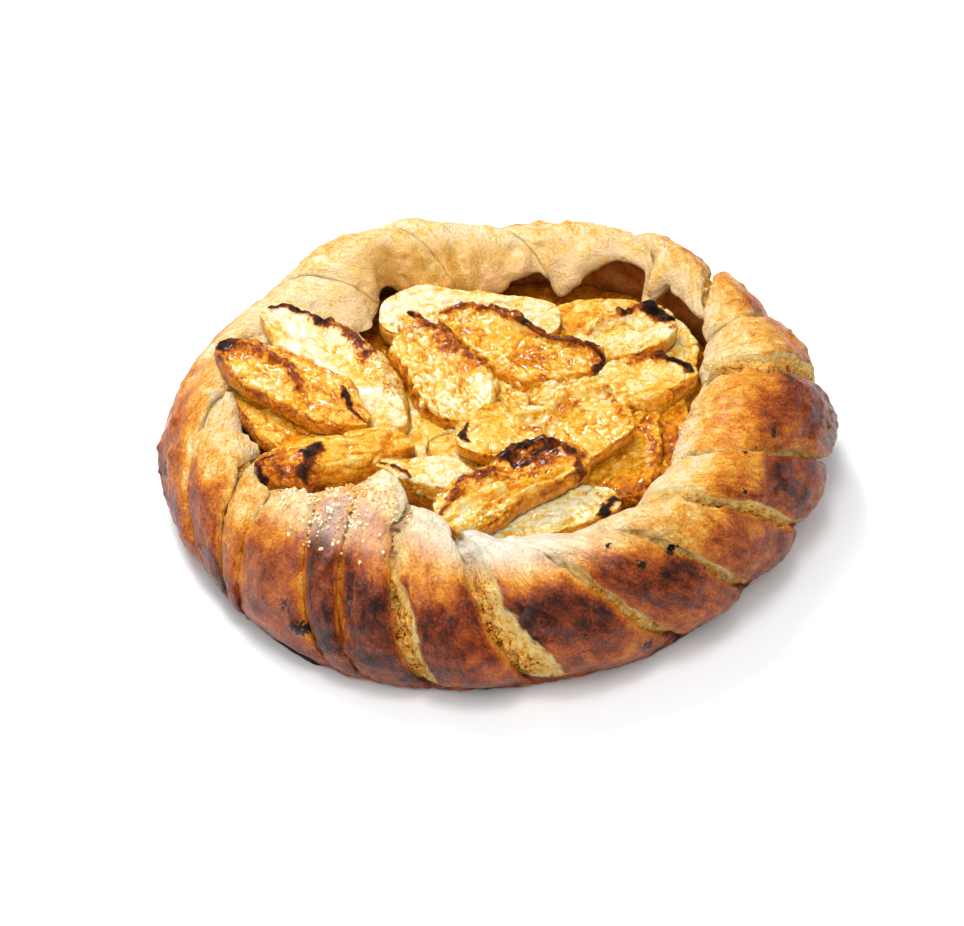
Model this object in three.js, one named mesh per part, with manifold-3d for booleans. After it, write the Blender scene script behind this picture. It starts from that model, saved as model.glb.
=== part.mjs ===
// Rustic apple tart: a round of enriched dough whose rim is folded up and over in leaning pleats,
// open in the middle over a heap of baked apple slices. At the back the lip hangs over a hollow.
// Millimetres, +Z up. The tart stands on z = 0, centred on the origin, and its front faces -Y.
import * as THREE from "three";
import { mergeVertices } from "three/addons/utils/BufferGeometryUtils.js";
import Module from "manifold-3d";

// Driving dimensions of the rim. Each list has one value every 30 degrees, counter-clockwise
// from the right-hand side (+X) as seen from above, and the values between them are smooth.
const RIM = {
  reach: [107.5, 106, 104, 103, 105, 104, 109, 106.5, 107.5, 105, 102, 101], // widest radius
  heelIn: [4, 4, 4, 4, 4, 4, 3, 1.5, 1, 3, 4, 4], // how far the heel tucks in under the belly
  crestRadius: [87, 90, 91, 84, 87, 90, 95, 92, 82, 84, 86, 84],
  crestHeight: [43, 42, 43, 40.5, 46, 37, 38, 38, 43.5, 39, 41, 41],
  lipRadius: [66, 78, 80, 65, 66, 78, 84, 83, 68, 74, 74, 64],
  lipHeight: [33, 38, 41, 34, 34, 34, 33, 33, 43, 36, 36, 33],
  hollow: [0, 0.7, 1, 1, 1, 0.3, 0, 0, 0, 0, 0, 0], // 1 where the lip hangs over a hollow
};
const RIM_CENTRE = [-1.25, 1.5]; // where the rim's radii start from, off the middle of its outline
const FLOOR_HEIGHT = 9; // top of the dough under the filling
const FOOT_INSET = 15; // ring of the underside that curls up off the table
const HEEL_HEIGHT = 5;
const BELLY_HEIGHT = 18;
// Share of the way outwards from the crest to the belly, and from the lip to the crest, with the
// share of the height of the crest there.
const SHOULDER = { outwards: 0.62, height: 0.8 };
const BROW = { outwards: 0.42, height: 0.8 };
const TUCK = { back: 1.8, down: 2.5 }; // the lip's rounded underside

// Inside of the case at the roof, the wall and the toe, where the dough is solid down to the
// filling and where it is hollow: distance outwards from the lip or the crest, and drop from it.
const SOLID_INSIDE = { roof: [3, 10], wall: [2, 18], toe: -8 };
const HOLLOW_INSIDE = { roof: [-5, 8], wall: [-4, 18], toe: -14 };
const TOE_RISE = 1;

// Pleats in order round the rim: the crease that each starts at, by its angle at the crest, how
// many degrees that crease leans for each station down the outside and down to the lip, and how
// much the pleat swells.
const PLEATS = [
  { crease: 20, lean: [4, 0], swell: 5.5 },
  { crease: 36, lean: [5, 4], swell: 5 },
  { crease: 57, lean: [6, 6], swell: 3 },
  { crease: 86, lean: [5, 5], swell: 3 },
  { crease: 112, lean: [5, 5], swell: 2.5 },
  { crease: 138, lean: [5, 5], swell: 2.5 },
  { crease: 164, lean: [6, 6], swell: 2.5 },
  { crease: 189, lean: [8, 8], swell: 3 },
  { crease: 208, lean: [4, 4], swell: 3 },
  { crease: 217.5, lean: [1.5, 2], swell: 3.5 },
  { crease: 228.3, lean: [4.5, 3.5], swell: 3.5 },
  { crease: 236.5, lean: [3.5, 3.5], swell: 4 },
  { crease: 246.3, lean: [3.8, 0], swell: 5 },
  { crease: 261.5, lean: [4.6, 2.5], swell: 5.5 },
  { crease: 280, lean: [8, 8], swell: 5.5 },
  { crease: 299, lean: [8, 8], swell: 6 },
  { crease: 314, lean: [9.5, 8], swell: 4.5 },
  { crease: 334, lean: [9.5, 3.5], swell: 7.5 },
  { crease: 359.5, lean: [5, -2], swell: 6 },
];

// Tongues and notches of the lip: angle, half width in degrees, how far each reaches inwards and
// how far it hangs down. Values below zero step back or rise.
const TONGUES = [
  { at: 249, half: 5, reach: -2, drop: 0 },
  { at: 237, half: 8, reach: 5, drop: -4 },
  { at: 221, half: 5, reach: -4, drop: -1 },
  { at: 213, half: 6, reach: -6, drop: -3 },
  { at: 199, half: 4, reach: 5, drop: -1 },
  { at: 140, half: 10, reach: 15, drop: 1 },
  { at: 122, half: 4, reach: -6, drop: -2 },
  { at: 108, half: 9, reach: 4, drop: 2 },
  { at: 94, half: 6, reach: 3, drop: 2 },
  { at: 69.5, half: 6, reach: 10, drop: 6 },
  { at: 47, half: 2.2, reach: 8, drop: 7 },
  { at: 28, half: 4, reach: -2, drop: 0 },
];

// Apple slices from the top of the heap down. Each is placed by its middle, seen from above, the
// height of its rim at both ends and the direction it points in, in degrees. left and right are
// its half widths at five places from end to end, roll tips it, ridge is a fold (its place across
// the face and its height), dish hollows the face where positive and crowns it where negative,
// and ends says how blunt the two ends are.
const SLICES = [
  {
    name: "apple_glossy", at: [5, -54.5], face: [40, 43], turn: 30, length: 54, thick: 9, roll: -4,
    left: [10, 13, 13, 14, 13], right: [13, 10, 7, 7, 6], ridge: [0.45, 2.5], dish: 0.8, ends: [7, 7],
  },
  {
    name: "apple_left_charred", at: [-66, -2], face: [43, 38], turn: -34, length: 61, thick: 9, roll: -6,
    left: [10, 10, 11, 12, 6], right: [7, 11, 11, 11, 8], ridge: [0.35, 2], dish: 0.6, ends: [5, 6],
  },
  {
    name: "apple_centre_back", at: [8, 24], face: [40, 38], turn: -24, length: 60, thick: 10, roll: -3,
    left: [10, 11, 8, 6, 7], right: [7, 13, 18, 19, 11], ridge: [0.75, 1.8], dish: -0.8, ends: [5, 7],
  },
  {
    name: "apple_folded", at: [15, -24], face: [39, 40], turn: 7, length: 57, thick: 8, roll: 4,
    left: [11, 14, 10, 17, 13], right: [10, 14, 17, 16, 9], ridge: [0.5, 2], dish: 0.5, ends: [7, 8],
  },
  {
    name: "apple_right", at: [38, 3], face: [36, 36], turn: 15, length: 57, thick: 14, roll: 2,
    left: [6, 9, 13, 12, 9], right: [8, 11, 12, 11, 6], ridge: [0.85, 1], dish: -0.3, ends: [4, 6],
  },
  {
    name: "apple_centre_left", at: [-19, 12], face: [39, 35], turn: -67, length: 57, thick: 10, roll: -4,
    left: [7, 11, 14, 16, 12], right: [6, 13, 12, 13, 11], ridge: [0.7, 1.6], dish: -0.8, ends: [4, 6],
  },
  {
    name: "apple_front_left", at: [-51, -35], face: [41, 36], turn: 17, length: 52, thick: 16, roll: 16,
    left: [6, 8, 9, 10, 9], right: [11, 13, 12, 9, 6], ridge: [0.5, 1], dish: -0.5, ends: [6, 5],
  },
  {
    name: "apple_left_pale", at: [-54, 10], face: [39, 34], turn: -49, length: 74, thick: 12, roll: -3,
    left: [11, 17, 23, 18, 9], right: [5, 9, 10, 11, 9], ridge: [0.4, 3], dish: -2, ends: [4, 6],
  },
  {
    name: "apple_right_charred", at: [41, 32], face: [35, 36], turn: 18, length: 39, thick: 10, roll: 3,
    left: [5, 8, 10, 11, 11], right: [7, 12, 13, 12, 8], ridge: [0.7, 1], dish: -0.6, ends: [4, 8],
  },
  {
    name: "apple_front_small", at: [-22, -43], face: [38, 36], turn: -12, length: 33, thick: 14, roll: 3,
    left: [4, 5, 7, 8, 6], right: [4, 6, 7, 8, 6], ridge: [0, 0], dish: -0.3, ends: [4, 5],
  },
  {
    name: "apple_back", at: [-9, 43], face: [33, 33], turn: -2, length: 61, thick: 11, roll: 6,
    left: [15, 16, 13, 11, 10], right: [13, 14, 13, 12, 10], ridge: [0, 0], dish: -0.8, ends: [5, 10],
  },
  {
    name: "apple_sliver", at: [3, 4], face: [35, 33], turn: -50, length: 38, thick: 8, roll: 0,
    left: [5, 7, 8, 7, 5], right: [4, 7, 7, 7, 5], ridge: [0, 0], dish: -0.3, ends: [4, 5],
  },
  {
    name: "apple_front", at: [14, -63], face: [34, 35], turn: 22, length: 52, thick: 10, roll: 4,
    left: [6, 10, 12, 12, 8], right: [5, 7, 7, 6, 5], ridge: [0, 0], dish: -0.5, ends: [4, 7],
  },
  {
    name: "apple_left_low", at: [-70, -13], face: [34, 33], turn: -44, length: 42, thick: 9, roll: -6,
    left: [5, 8, 9, 9, 7], right: [4, 8, 10, 10, 7], ridge: [0, 0], dish: -0.5, ends: [4, 4],
  },
  {
    name: "apple_right_low", at: [38, -27], face: [32, 32], turn: 60, length: 50, thick: 10, roll: 2,
    left: [8, 8, 8, 7, 5], right: [14, 17, 15, 11, 6], ridge: [0, 0], dish: -1, ends: [5, 5],
  },
  {
    name: "apple_middle_front", at: [-8, -33], face: [32, 33], turn: -50, length: 36, thick: 9, roll: 0,
    left: [8, 9, 10, 9, 7], right: [8, 10, 10, 9, 7], ridge: [0, 0], dish: -0.5, ends: [5, 5],
  },
  {
    name: "apple_middle", at: [-21, -15], face: [31, 32], turn: -74, length: 46, thick: 10, roll: 0,
    left: [8, 10, 11, 10, 8], right: [7, 10, 11, 10, 7], ridge: [0, 0], dish: -0.5, ends: [5, 5],
  },
  {
    name: "apple_back_right", at: [31, 47], face: [30, 29], turn: 20, length: 42, thick: 9, roll: 3,
    left: [6, 9, 9, 7, 5], right: [8, 9, 9, 8, 6], ridge: [0, 0], dish: -0.5, ends: [4, 4],
  },
  {
    name: "apple_right_edge", at: [59, 35], face: [29, 29], turn: -72, length: 32, thick: 9, roll: 0,
    left: [5, 7, 8, 7, 5], right: [5, 8, 9, 9, 6], ridge: [0, 0], dish: -0.4, ends: [4, 4],
  },
  {
    name: "apple_right_wall", at: [55, -14], face: [29, 29], turn: -97, length: 46, thick: 9, roll: 0,
    left: [5, 7, 8, 7, 5], right: [6, 8, 8, 7, 6], ridge: [0, 0], dish: -0.5, ends: [4, 4],
  },
];

const CROWN = 2.5; // how far a slice's face rises above its rim
const SQUARENESS = 0.75; // of a slice's section: 1 is an ellipse
const FOLD_HALF = 0.28; // half width of a fold, as a share of the slice's half width
const WIDTHS_REACH = 0.86; // share of a slice's length that its five widths cover
const SLICE_STEPS = 9;
const SLICE_SIDES = 10;

// Juicy apple that fills the case under the slices: its height in the middle, its fall towards the
// wall, the height of its waves, and its clearance from the wall.
const BED = { height: 25, fall: 3, wave: 0.7, clearance: 2.5, edge: 4, sides: 48 };
const BED_RINGS = [1, 0.8, 0.6, 0.4, 0.2];
const GAP = 0.6; // clearance between apple pieces
const RIM_GAP = 1.3; // clearance between the dough and what it holds

// Stations up the outside of the rim, over the crest, round the lip and down to the floor.
const FOOT = 1;
const CREST = 5;
const ROOF = 9;
const TOE = 11;
const FLOOR = 12;
const STATION_ROWS = [
  1, 2, 2.5, 3, 3.5, 4, 4.5, 5, 5.5, 6, 6.5, 7, 7.5, 8, 8.5, 9, 9.5, 10, 10.5, 11,
];
const CREASE_STATIONS = [1.8, 7.2]; // between these a crease leans, beyond them it runs straight

// A pleat's form: its top, how it rises out of its crease and drops at its far edge, the height
// that is neither swollen nor sunk, and the stations where it starts and ends.
const PLEAT = { top: 1.3, rise: 0.55, drop: 7, level: 0.45, start: [1.2, 1.6], end: [8.2, 2] };
const PLEAT_COLUMNS = [0, 0.12, 0.36, 0.6, 0.82, 0.96]; // places across a pleat, from crease to ridge

const CRUST_COLOUR = 0xc07a34;
const APPLE_COLOUR = 0xe8b04a;
const BED_COLOUR = 0xa86a1e;

const wasm = await Module();
wasm.setup();

const radians = THREE.MathUtils.degToRad;
const mix = THREE.MathUtils.lerp;
const clamp = THREE.MathUtils.clamp;
const smooth = (x) => THREE.MathUtils.smoothstep(x, 0, 1);

// A smooth curve through four neighbouring values, between the second and the third.
function through(a, b, c, d, f) {
  const slope = c - a;
  const bend = 2 * a - 5 * b + 4 * c - d;
  const twist = 3 * b - a - 3 * c + d;
  return 0.5 * (2 * b + slope * f + bend * f ** 2 + twist * f ** 3);
}

// A rim list's value at an angle.
function round(values, angle) {
  const count = values.length;
  const place = ((((angle % 360) + 360) % 360) / 360) * count;
  const first = Math.floor(place) % count;
  const near = (step) => values[(first + step + count) % count];
  return through(near(-1), near(0), near(1), near(2), place - Math.floor(place));
}

// The rim's section at an angle: radius and height at each station.
function section(angle) {
  const reach = round(RIM.reach, angle);
  const crestRadius = round(RIM.crestRadius, angle);
  const crestHeight = round(RIM.crestHeight, angle);
  const hollow = clamp(round(RIM.hollow, angle), 0, 1);
  let lipRadius = round(RIM.lipRadius, angle);
  let lipHeight = round(RIM.lipHeight, angle);
  for (const tongue of TONGUES) {
    const away = ((((angle - tongue.at + 180) % 360) + 360) % 360) - 180;
    const share = Math.exp(-((away / tongue.half) ** 2));
    lipRadius -= tongue.reach * share;
    lipHeight -= tongue.drop * share;
  }
  const inside = ([solidOut, solidDown], [hollowOut, hollowDown]) => [
    mix(lipRadius + solidOut, crestRadius + hollowOut, hollow),
    mix(lipHeight - solidDown, crestHeight - hollowDown, hollow),
  ];
  const toe = mix(lipRadius + SOLID_INSIDE.toe, crestRadius + HOLLOW_INSIDE.toe, hollow);
  return [
    [0, 0],
    [reach - FOOT_INSET, 0],
    [reach - round(RIM.heelIn, angle), HEEL_HEIGHT],
    [reach, BELLY_HEIGHT],
    [mix(crestRadius, reach, SHOULDER.outwards), SHOULDER.height * crestHeight],
    [crestRadius, crestHeight],
    [mix(lipRadius, crestRadius, BROW.outwards), mix(lipHeight, crestHeight, BROW.height)],
    [lipRadius, lipHeight],
    [lipRadius + TUCK.back, lipHeight - TUCK.down],
    inside(SOLID_INSIDE.roof, HOLLOW_INSIDE.roof),
    inside(SOLID_INSIDE.wall, HOLLOW_INSIDE.wall),
    [toe, FLOOR_HEIGHT + TOE_RISE],
    [0, FLOOR_HEIGHT],
  ];
}

// A point of the section between stations: straight along the underside and the floor, else curved.
function sectionPoint(stations, place) {
  const first = clamp(Math.floor(place), 0, FLOOR - 1);
  const share = place - first;
  const near = (step, axis) => stations[clamp(first + step, 0, FLOOR)][axis];
  const straight = first < FOOT || first >= TOE;
  const value = (axis) =>
    straight
      ? mix(near(0, axis), near(1, axis), share)
      : through(near(-1, axis), near(0, axis), near(1, axis), near(2, axis), share);
  return [value(0), Math.max(value(1), 0)];
}

// Angle of a crease at a station: creases lean round the tart as they run down from the crest.
function creaseAngle(index, place) {
  const pleat = PLEATS[index % PLEATS.length];
  const turns = Math.floor(index / PLEATS.length);
  const fromCrest = CREST - clamp(place, ...CREASE_STATIONS);
  return pleat.crease + 360 * turns + fromCrest * pleat.lean[fromCrest > 0 ? 0 : 1];
}

// A pleat's height across its width: a slow rise out of the crease, then a steep drop.
function pleatHeight(across) {
  return PLEAT.top * across ** PLEAT.rise * Math.sqrt(1 - across ** PLEAT.drop);
}

// How much of a pleat shows at a station: nothing at the foot and under the lip.
function pleatShare(place) {
  const [start, startLength] = PLEAT.start;
  const [end, endLength] = PLEAT.end;
  return smooth((place - start) / startLength) * smooth((end - place) / endLength);
}

// Point of the crust's skin, by pleat, place across it and station.
function crustPoint(pleat, across, place) {
  const angle = mix(creaseAngle(pleat, place), creaseAngle(pleat + 1, place), across);
  const stations = section(angle);
  const step = 0.02;
  const [radius, height] = sectionPoint(stations, place);
  const before = sectionPoint(stations, place - step);
  const after = sectionPoint(stations, place + step);
  const length = Math.hypot(after[0] - before[0], after[1] - before[1]);
  const outward = [(after[1] - before[1]) / length, (before[0] - after[0]) / length];
  const swell = PLEATS[pleat].swell * pleatShare(place) * (pleatHeight(across) - PLEAT.level);
  const grown = radius + outward[0] * swell;
  const turn = radians(angle);
  return [grown * Math.cos(turn), grown * Math.sin(turn), Math.max(height + outward[1] * swell, 0)];
}

// Closes a grid of points, rings of equal count, into a solid with one point at each end.
function solidFromRings(rings, startPoint, endPoint) {
  const count = rings[0].length;
  const positions = [startPoint, ...rings.flat(), endPoint].flat();
  const last = rings.length * count + 1;
  const corners = [];
  for (let i = 0; i < count; i++) {
    const next = (i + 1) % count;
    corners.push(0, 1 + next, 1 + i);
    for (let ring = 0; ring < rings.length - 1; ring++) {
      const a = 1 + ring * count + i;
      const b = 1 + ring * count + next;
      corners.push(a, b, b + count, a, b + count, a + count);
    }
    corners.push(last, last - count + i, last - count + next);
  }
  const mesh = new wasm.Mesh({
    numProp: 3,
    vertProperties: new Float32Array(positions),
    triVerts: new Uint32Array(corners),
  });
  return new wasm.Manifold(mesh);
}

// The dough case with its pleated rim.
function crust() {
  const rings = STATION_ROWS.map((place) =>
    PLEATS.flatMap((_, pleat) => PLEAT_COLUMNS.map((across) => crustPoint(pleat, across, place))),
  );
  return solidFromRings(rings, [0, 0, 0], [0, 0, FLOOR_HEIGHT]);
}

// Half width of a slice along its length, smooth through its five values.
function halfWidth(values, along) {
  const last = values.length - 1;
  const place = clamp(((along / WIDTHS_REACH + 1) / 2) * last, 0, last);
  const first = Math.min(Math.floor(place), last - 1);
  const near = (step) => values[clamp(first + step, 0, last)];
  return through(near(-1), near(0), near(1), near(2), place - first);
}

// Point of a slice's skin: along is -1 to 1 from end to end, around goes about its section.
function slicePoint(slice, along, around) {
  const blunt = slice.ends[along < 0 ? 0 : 1];
  const cap = Math.sqrt(Math.max(1 - Math.abs(along) ** blunt, 0));
  const squared = (value) => Math.sign(value) * Math.abs(value) ** SQUARENESS;
  const across = squared(Math.cos(around));
  const up = squared(Math.sin(around));
  const half = halfWidth(across > 0 ? slice.left : slice.right, along);
  const depth = (up > 0 ? CROWN : slice.thick - CROWN) * cap ** 0.6;
  const [foldAt, foldHeight] = slice.ridge;
  const fold = foldHeight * Math.exp(-(((across - foldAt) / FOLD_HALF) ** 2));
  const relief = slice.dish * (across ** 2 - 0.5) * 1.6 + fold;
  const [startHeight, endHeight] = slice.face;
  const middle = mix(startHeight, endHeight, (along + 1) / 2);
  return new THREE.Vector3(
    (slice.length / 2) * along,
    half * cap * across,
    depth * up + cap * relief * Math.max(up, 0),
  )
    .applyAxisAngle(new THREE.Vector3(1, 0, 0), radians(slice.roll))
    .applyAxisAngle(new THREE.Vector3(0, 0, 1), radians(slice.turn))
    .add(new THREE.Vector3(slice.at[0], slice.at[1], middle))
    .toArray();
}

function appleSlice(slice) {
  const rings = [];
  for (let step = 1; step < SLICE_STEPS; step++) {
    const along = -Math.cos((Math.PI * step) / SLICE_STEPS);
    const ring = [];
    for (let side = 0; side < SLICE_SIDES; side++) {
      ring.push(slicePoint(slice, along, (2 * Math.PI * side) / SLICE_SIDES));
    }
    rings.push(ring);
  }
  return solidFromRings(rings, slicePoint(slice, -1, 0), slicePoint(slice, 1, 0));
}

// The uneven heap of soft apple and juice that the slices are sunk in, fitted to the case's walls.
function fillingBed() {
  const angles = Array.from({ length: BED.sides }, (_, side) => (360 * side) / BED.sides);
  const walls = angles.map((angle) => section(angle).slice(ROOF, FLOOR));
  const ring = (share, heightAt) =>
    angles.map((angle, side) => {
      const turn = radians(angle);
      const radius = share * (radiusAt(walls[side], heightAt(share, turn)) - BED.clearance);
      return [radius * Math.cos(turn), radius * Math.sin(turn), heightAt(share, turn)];
    });
  const wave = (share, turn) => BED.wave * Math.sin(5 * turn + 9 * share) * Math.sin(11 * share);
  const surface = (share, turn) => BED.height - BED.fall * share ** 2 + wave(share, turn);
  const underside = FLOOR_HEIGHT + RIM_GAP;
  const rings = [
    ring(0.9, () => underside),
    ring(1, () => underside + BED.edge),
    ...BED_RINGS.map((share) => ring(share, surface)),
  ];
  return solidFromRings(rings, [0, 0, underside], [0, 0, BED.height]);
}

// Radius of the case's inner wall at a height, between the points of its section.
function radiusAt(wall, height) {
  const upper = wall.findLastIndex((point) => point[1] >= height);
  const [above, below] = [wall[Math.max(upper, 0)], wall[Math.min(upper + 1, wall.length - 1)]];
  if (above[1] === below[1]) return below[0];
  return mix(below[0], above[0], clamp((height - below[1]) / (above[1] - below[1]), 0, 1));
}

// A solid with its skin moved out by the clearance, to cut its neighbours with.
function withClearance(solid, gap) {
  const { vertProperties, triVerts } = solid.getMesh();
  const geometry = new THREE.BufferGeometry();
  geometry.setAttribute("position", new THREE.BufferAttribute(vertProperties, 3));
  geometry.setIndex(new THREE.BufferAttribute(triVerts, 1));
  geometry.computeVertexNormals();
  const normals = geometry.getAttribute("normal").array;
  const moved = vertProperties.map((value, i) => value + gap * normals[i]);
  return new wasm.Manifold(new wasm.Mesh({ numProp: 3, vertProperties: moved, triVerts }));
}

// The largest body of a solid that cutting may have split.
function largest(solid) {
  return solid.decompose().reduce((best, body) => (body.volume() > best.volume() ? body : best));
}

function meshOf(name, solid, colour, roughness) {
  const { vertProperties, triVerts } = solid.getMesh();
  const geometry = new THREE.BufferGeometry();
  geometry.setAttribute("position", new THREE.BufferAttribute(vertProperties, 3));
  geometry.setIndex(new THREE.BufferAttribute(triVerts, 1));
  const merged = mergeVertices(geometry, 1e-3);
  merged.computeVertexNormals();
  const material = new THREE.MeshStandardMaterial({ color: colour, roughness, metalness: 0 });
  const mesh = new THREE.Mesh(merged, material);
  mesh.name = name;
  return mesh;
}

const tart = new THREE.Group();
tart.position.set(...RIM_CENTRE, 0);
const dough = crust();
tart.add(meshOf("crust", dough, CRUST_COLOUR, 0.6));

const doughRoom = withClearance(dough, RIM_GAP);
let sliceRoom = wasm.Manifold.union([]);
for (const slice of SLICES) {
  const whole = appleSlice(slice);
  const body = largest(whole.subtract(doughRoom).subtract(sliceRoom));
  tart.add(meshOf(slice.name, body, APPLE_COLOUR, 0.4));
  sliceRoom = sliceRoom.add(withClearance(whole, GAP));
}
tart.add(meshOf("apple_bed", largest(fillingBed().subtract(sliceRoom)), BED_COLOUR, 0.3));

export default tart;
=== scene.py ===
import math

import bpy
import numpy as np
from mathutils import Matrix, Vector


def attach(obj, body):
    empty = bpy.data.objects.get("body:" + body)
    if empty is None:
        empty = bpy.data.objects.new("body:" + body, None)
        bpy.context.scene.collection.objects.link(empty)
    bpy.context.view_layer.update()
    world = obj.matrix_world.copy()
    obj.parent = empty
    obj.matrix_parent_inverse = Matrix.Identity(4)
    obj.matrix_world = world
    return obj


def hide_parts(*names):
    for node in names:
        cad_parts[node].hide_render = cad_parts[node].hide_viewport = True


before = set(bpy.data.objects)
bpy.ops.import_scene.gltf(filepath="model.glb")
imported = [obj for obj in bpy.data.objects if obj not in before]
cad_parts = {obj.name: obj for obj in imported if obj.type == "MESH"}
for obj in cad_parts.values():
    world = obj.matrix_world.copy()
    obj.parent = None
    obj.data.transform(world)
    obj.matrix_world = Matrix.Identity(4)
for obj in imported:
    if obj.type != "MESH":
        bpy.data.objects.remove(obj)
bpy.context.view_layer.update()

# The dough case. A round of soft enriched dough whose rim is folded up and inwards in leaning pleats,
# each torn a little where it lies over the next. Brushed with egg and baked until the pleats' crowns
# are dark; at the back the lip hangs free over a hollow and has stayed pale and soft.

# one value every 30 degrees, counter-clockwise from the right as seen from above, in mm
RIM = {
    "reach": [107.5, 106, 104, 103, 105, 104, 109, 106.5, 107.5, 105, 102, 101],
    "heel_in": [4, 4, 4, 4, 4, 4, 3, 1.5, 1, 3, 4, 4],
    "crest_radius": [87, 90, 91, 84, 87, 90, 95, 92, 82, 84, 86, 84],
    "crest_height": [43, 42, 43, 40.5, 46, 37, 38, 38, 43.5, 39, 41, 41],
    "lip_radius": [66, 78, 80, 65, 66, 78, 84, 83, 68, 74, 74, 64],
    "lip_height": [33, 38, 41, 34, 34, 34, 33, 33, 43, 36, 36, 33],
    "hollow": [0, 0.7, 1, 1, 1, 0.3, 0, 0, 0, 0, 0, 0],
}
RIM_CENTRE = (-1.25, 1.5)
FLOOR_HEIGHT = 9.0  # the dough's thickness under the apples
FOOT_INSET = 15.0  # from the widest line in to where the underside lifts
HEEL_HEIGHT = 5.0
BELLY_HEIGHT = 18.0  # of the widest line

# stations along the case's skin: from the hub of the underside out to the foot, up the outside, over
# the crest, in under the lip and down the inner wall to the floor
FOOT, HEEL, BELLY, SHOULDER, CREST, BROW, LIP, TUCK, ROOF, WALL, TOE, FLOOR = range(1, 13)

# tongues and notches of the lip: angle, half width in degrees, reach inwards and drop in mm
TONGUES = [
    (249, 5, -2, 0), (237, 8, 5, -4), (221, 5, -4, -1), (213, 6, -6, -3), (199, 4, 5, -1),
    (140, 10, 15, 1), (122, 4, -6, -2), (108, 9, 4, 2), (94, 6, 3, 2), (69.5, 6, 10, 6),
    (47, 2.2, 8, 7), (28, 4, -2, 0),
]

# pleats in order round the rim: angle of the crease that each starts at, the lean of that crease
# down the outside and down to the lip, swell in mm, share of its width that is torn open, how far
# it has browned at the belly, the shoulder, the crest and the brow, and the station where its
# brown crown gives way to the golden crest
PLEATS = [
    (20, (4, 0), 5.5, 0.10, (0.62, 0.50, 0.25, 0.06), 4.30),
    (36, (5, 4), 5, 0.15, (0.62, 0.54, 0.26, 0.08), 4.20),
    (57, (6, 6), 3, 0.00, (0.60, 0.36, 0.16, 0.04), 4.00),
    (86, (5, 5), 3, 0.00, (0.58, 0.28, 0.06, 0.02), 4.00),
    (112, (5, 5), 2.5, 0.00, (0.60, 0.38, 0.12, 0.02), 4.00),
    (138, (5, 5), 2.5, 0.00, (0.62, 0.38, 0.05, 0.00), 4.00),
    (164, (6, 6), 2.5, 0.00, (0.70, 0.50, 0.28, 0.06), 4.00),
    (189, (8, 8), 3, 0.00, (0.72, 0.56, 0.14, 0.05), 4.05),
    (208, (4, 4), 3, 0.20, (0.68, 0.44, 0.20, 0.03), 3.80),
    (217.5, (1.5, 2), 3.5, 0.00, (0.66, 0.62, 0.12, 0.04), 4.00),
    (228.3, (4.5, 3.5), 3.5, 0.00, (0.84, 0.70, 0.40, 0.20), 4.15),
    (236.5, (3.5, 3.5), 4, 0.00, (0.78, 0.88, 0.38, 0.10), 4.00),
    (246.3, (3.8, 0), 5, 0.21, (0.70, 0.68, 0.22, 0.00), 3.80),
    (261.5, (4.6, 2.5), 5.5, 0.27, (0.64, 0.84, 0.22, 0.00), 3.78),
    (280, (8, 8), 5.5, 0.12, (0.62, 0.76, 0.22, 0.02), 4.20),
    (299, (8, 8), 6, 0.10, (0.66, 0.58, 0.20, 0.02), 3.95),
    (314, (9.5, 8), 4.5, 0.22, (0.70, 0.70, 0.28, 0.02), 4.15),
    (334, (9.5, 3.5), 7.5, 0.05, (0.78, 0.66, 0.36, 0.22), 4.60),
    (359.5, (5, -2), 6, 0.25, (0.68, 0.44, 0.22, 0.10), 4.30),
]
CREASE, LEANS, SWELL, TORN, BROWNED, CROWN_END = (np.array(column, float) for column in zip(*PLEATS))

# black spots where a blister or a fold caught: angle, station, length in degrees and stations, depth
BURNT_SPOTS = [
    # the long one at 228 degrees is a black band along the heel at the left front
    (191, 3.3, 2.2, 0.22, 1.0), (199, 3.0, 1.6, 0.3, 0.9), (228, 2.0, 9, 0.35, 1.0),
    (338, 4.7, 1.0, 0.10, 0.9), (343, 4.6, 0.9, 0.10, 0.9), (334, 4.9, 0.7, 0.08, 0.8),
    (305, 4.3, 3.0, 0.12, 0.8), (292, 4.9, 0.9, 0.10, 0.9), (297, 4.3, 1.0, 0.10, 0.8),
    (296, 2.6, 1.5, 0.18, 0.9), (326, 4.4, 0.8, 0.16, 0.9), (237, 2.9, 2.4, 0.2, 0.8),
    (233, 3.2, 1.5, 0.2, 0.7), (244, 3.6, 1.5, 0.25, 0.7), (330, 2.6, 0.9, 0.2, 0.9),
]


def mix(a, b, share):
    return a + (b - a) * share


def smooth(x):
    x = np.clip(x, 0, 1)
    return x * x * (3 - 2 * x)


def rising(value, start, span):
    """0 up to the start, 1 from a span beyond it."""
    return smooth((value - start) / span)


def falling(value, end, span):
    """1 until a span before the end, 0 from there on."""
    return smooth((end - value) / span)


def near(value, middle, half):
    """1 at the middle, falling to nothing a little beyond the half width."""
    return np.exp(-((value - middle) / half) ** 2)


def turned(angle, middle):
    """Angle from the middle, from -180 to 180 degrees."""
    return (angle - middle + 180.0) % 360.0 - 180.0


def facing(angle, middle, half):
    """1 where the rim lies at an angle, falling to nothing a little beyond the half width."""
    return near(turned(angle, middle), 0, half)


NEIGHBOURS = (-1, 0, 1, 2)


def curve(four, share):
    """A smooth curve through four neighbours, between the second and the third."""
    before, here, after, beyond = four
    bend = 2 * before - 5 * here + 4 * after - beyond
    twist = 3 * here - before - 3 * after + beyond
    return 0.5 * (2 * here + (after - before) * share + bend * share ** 2 + twist * share ** 3)


def rim_value(values, angle):
    """A rim list's value at an angle, smooth between its places."""
    values = np.asarray(values, float)
    place = np.mod(angle, 360.0) / 360.0 * len(values)
    first = np.floor(place).astype(int)
    return curve([values[(first + step) % len(values)] for step in NEIGHBOURS], place - first)


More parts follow.
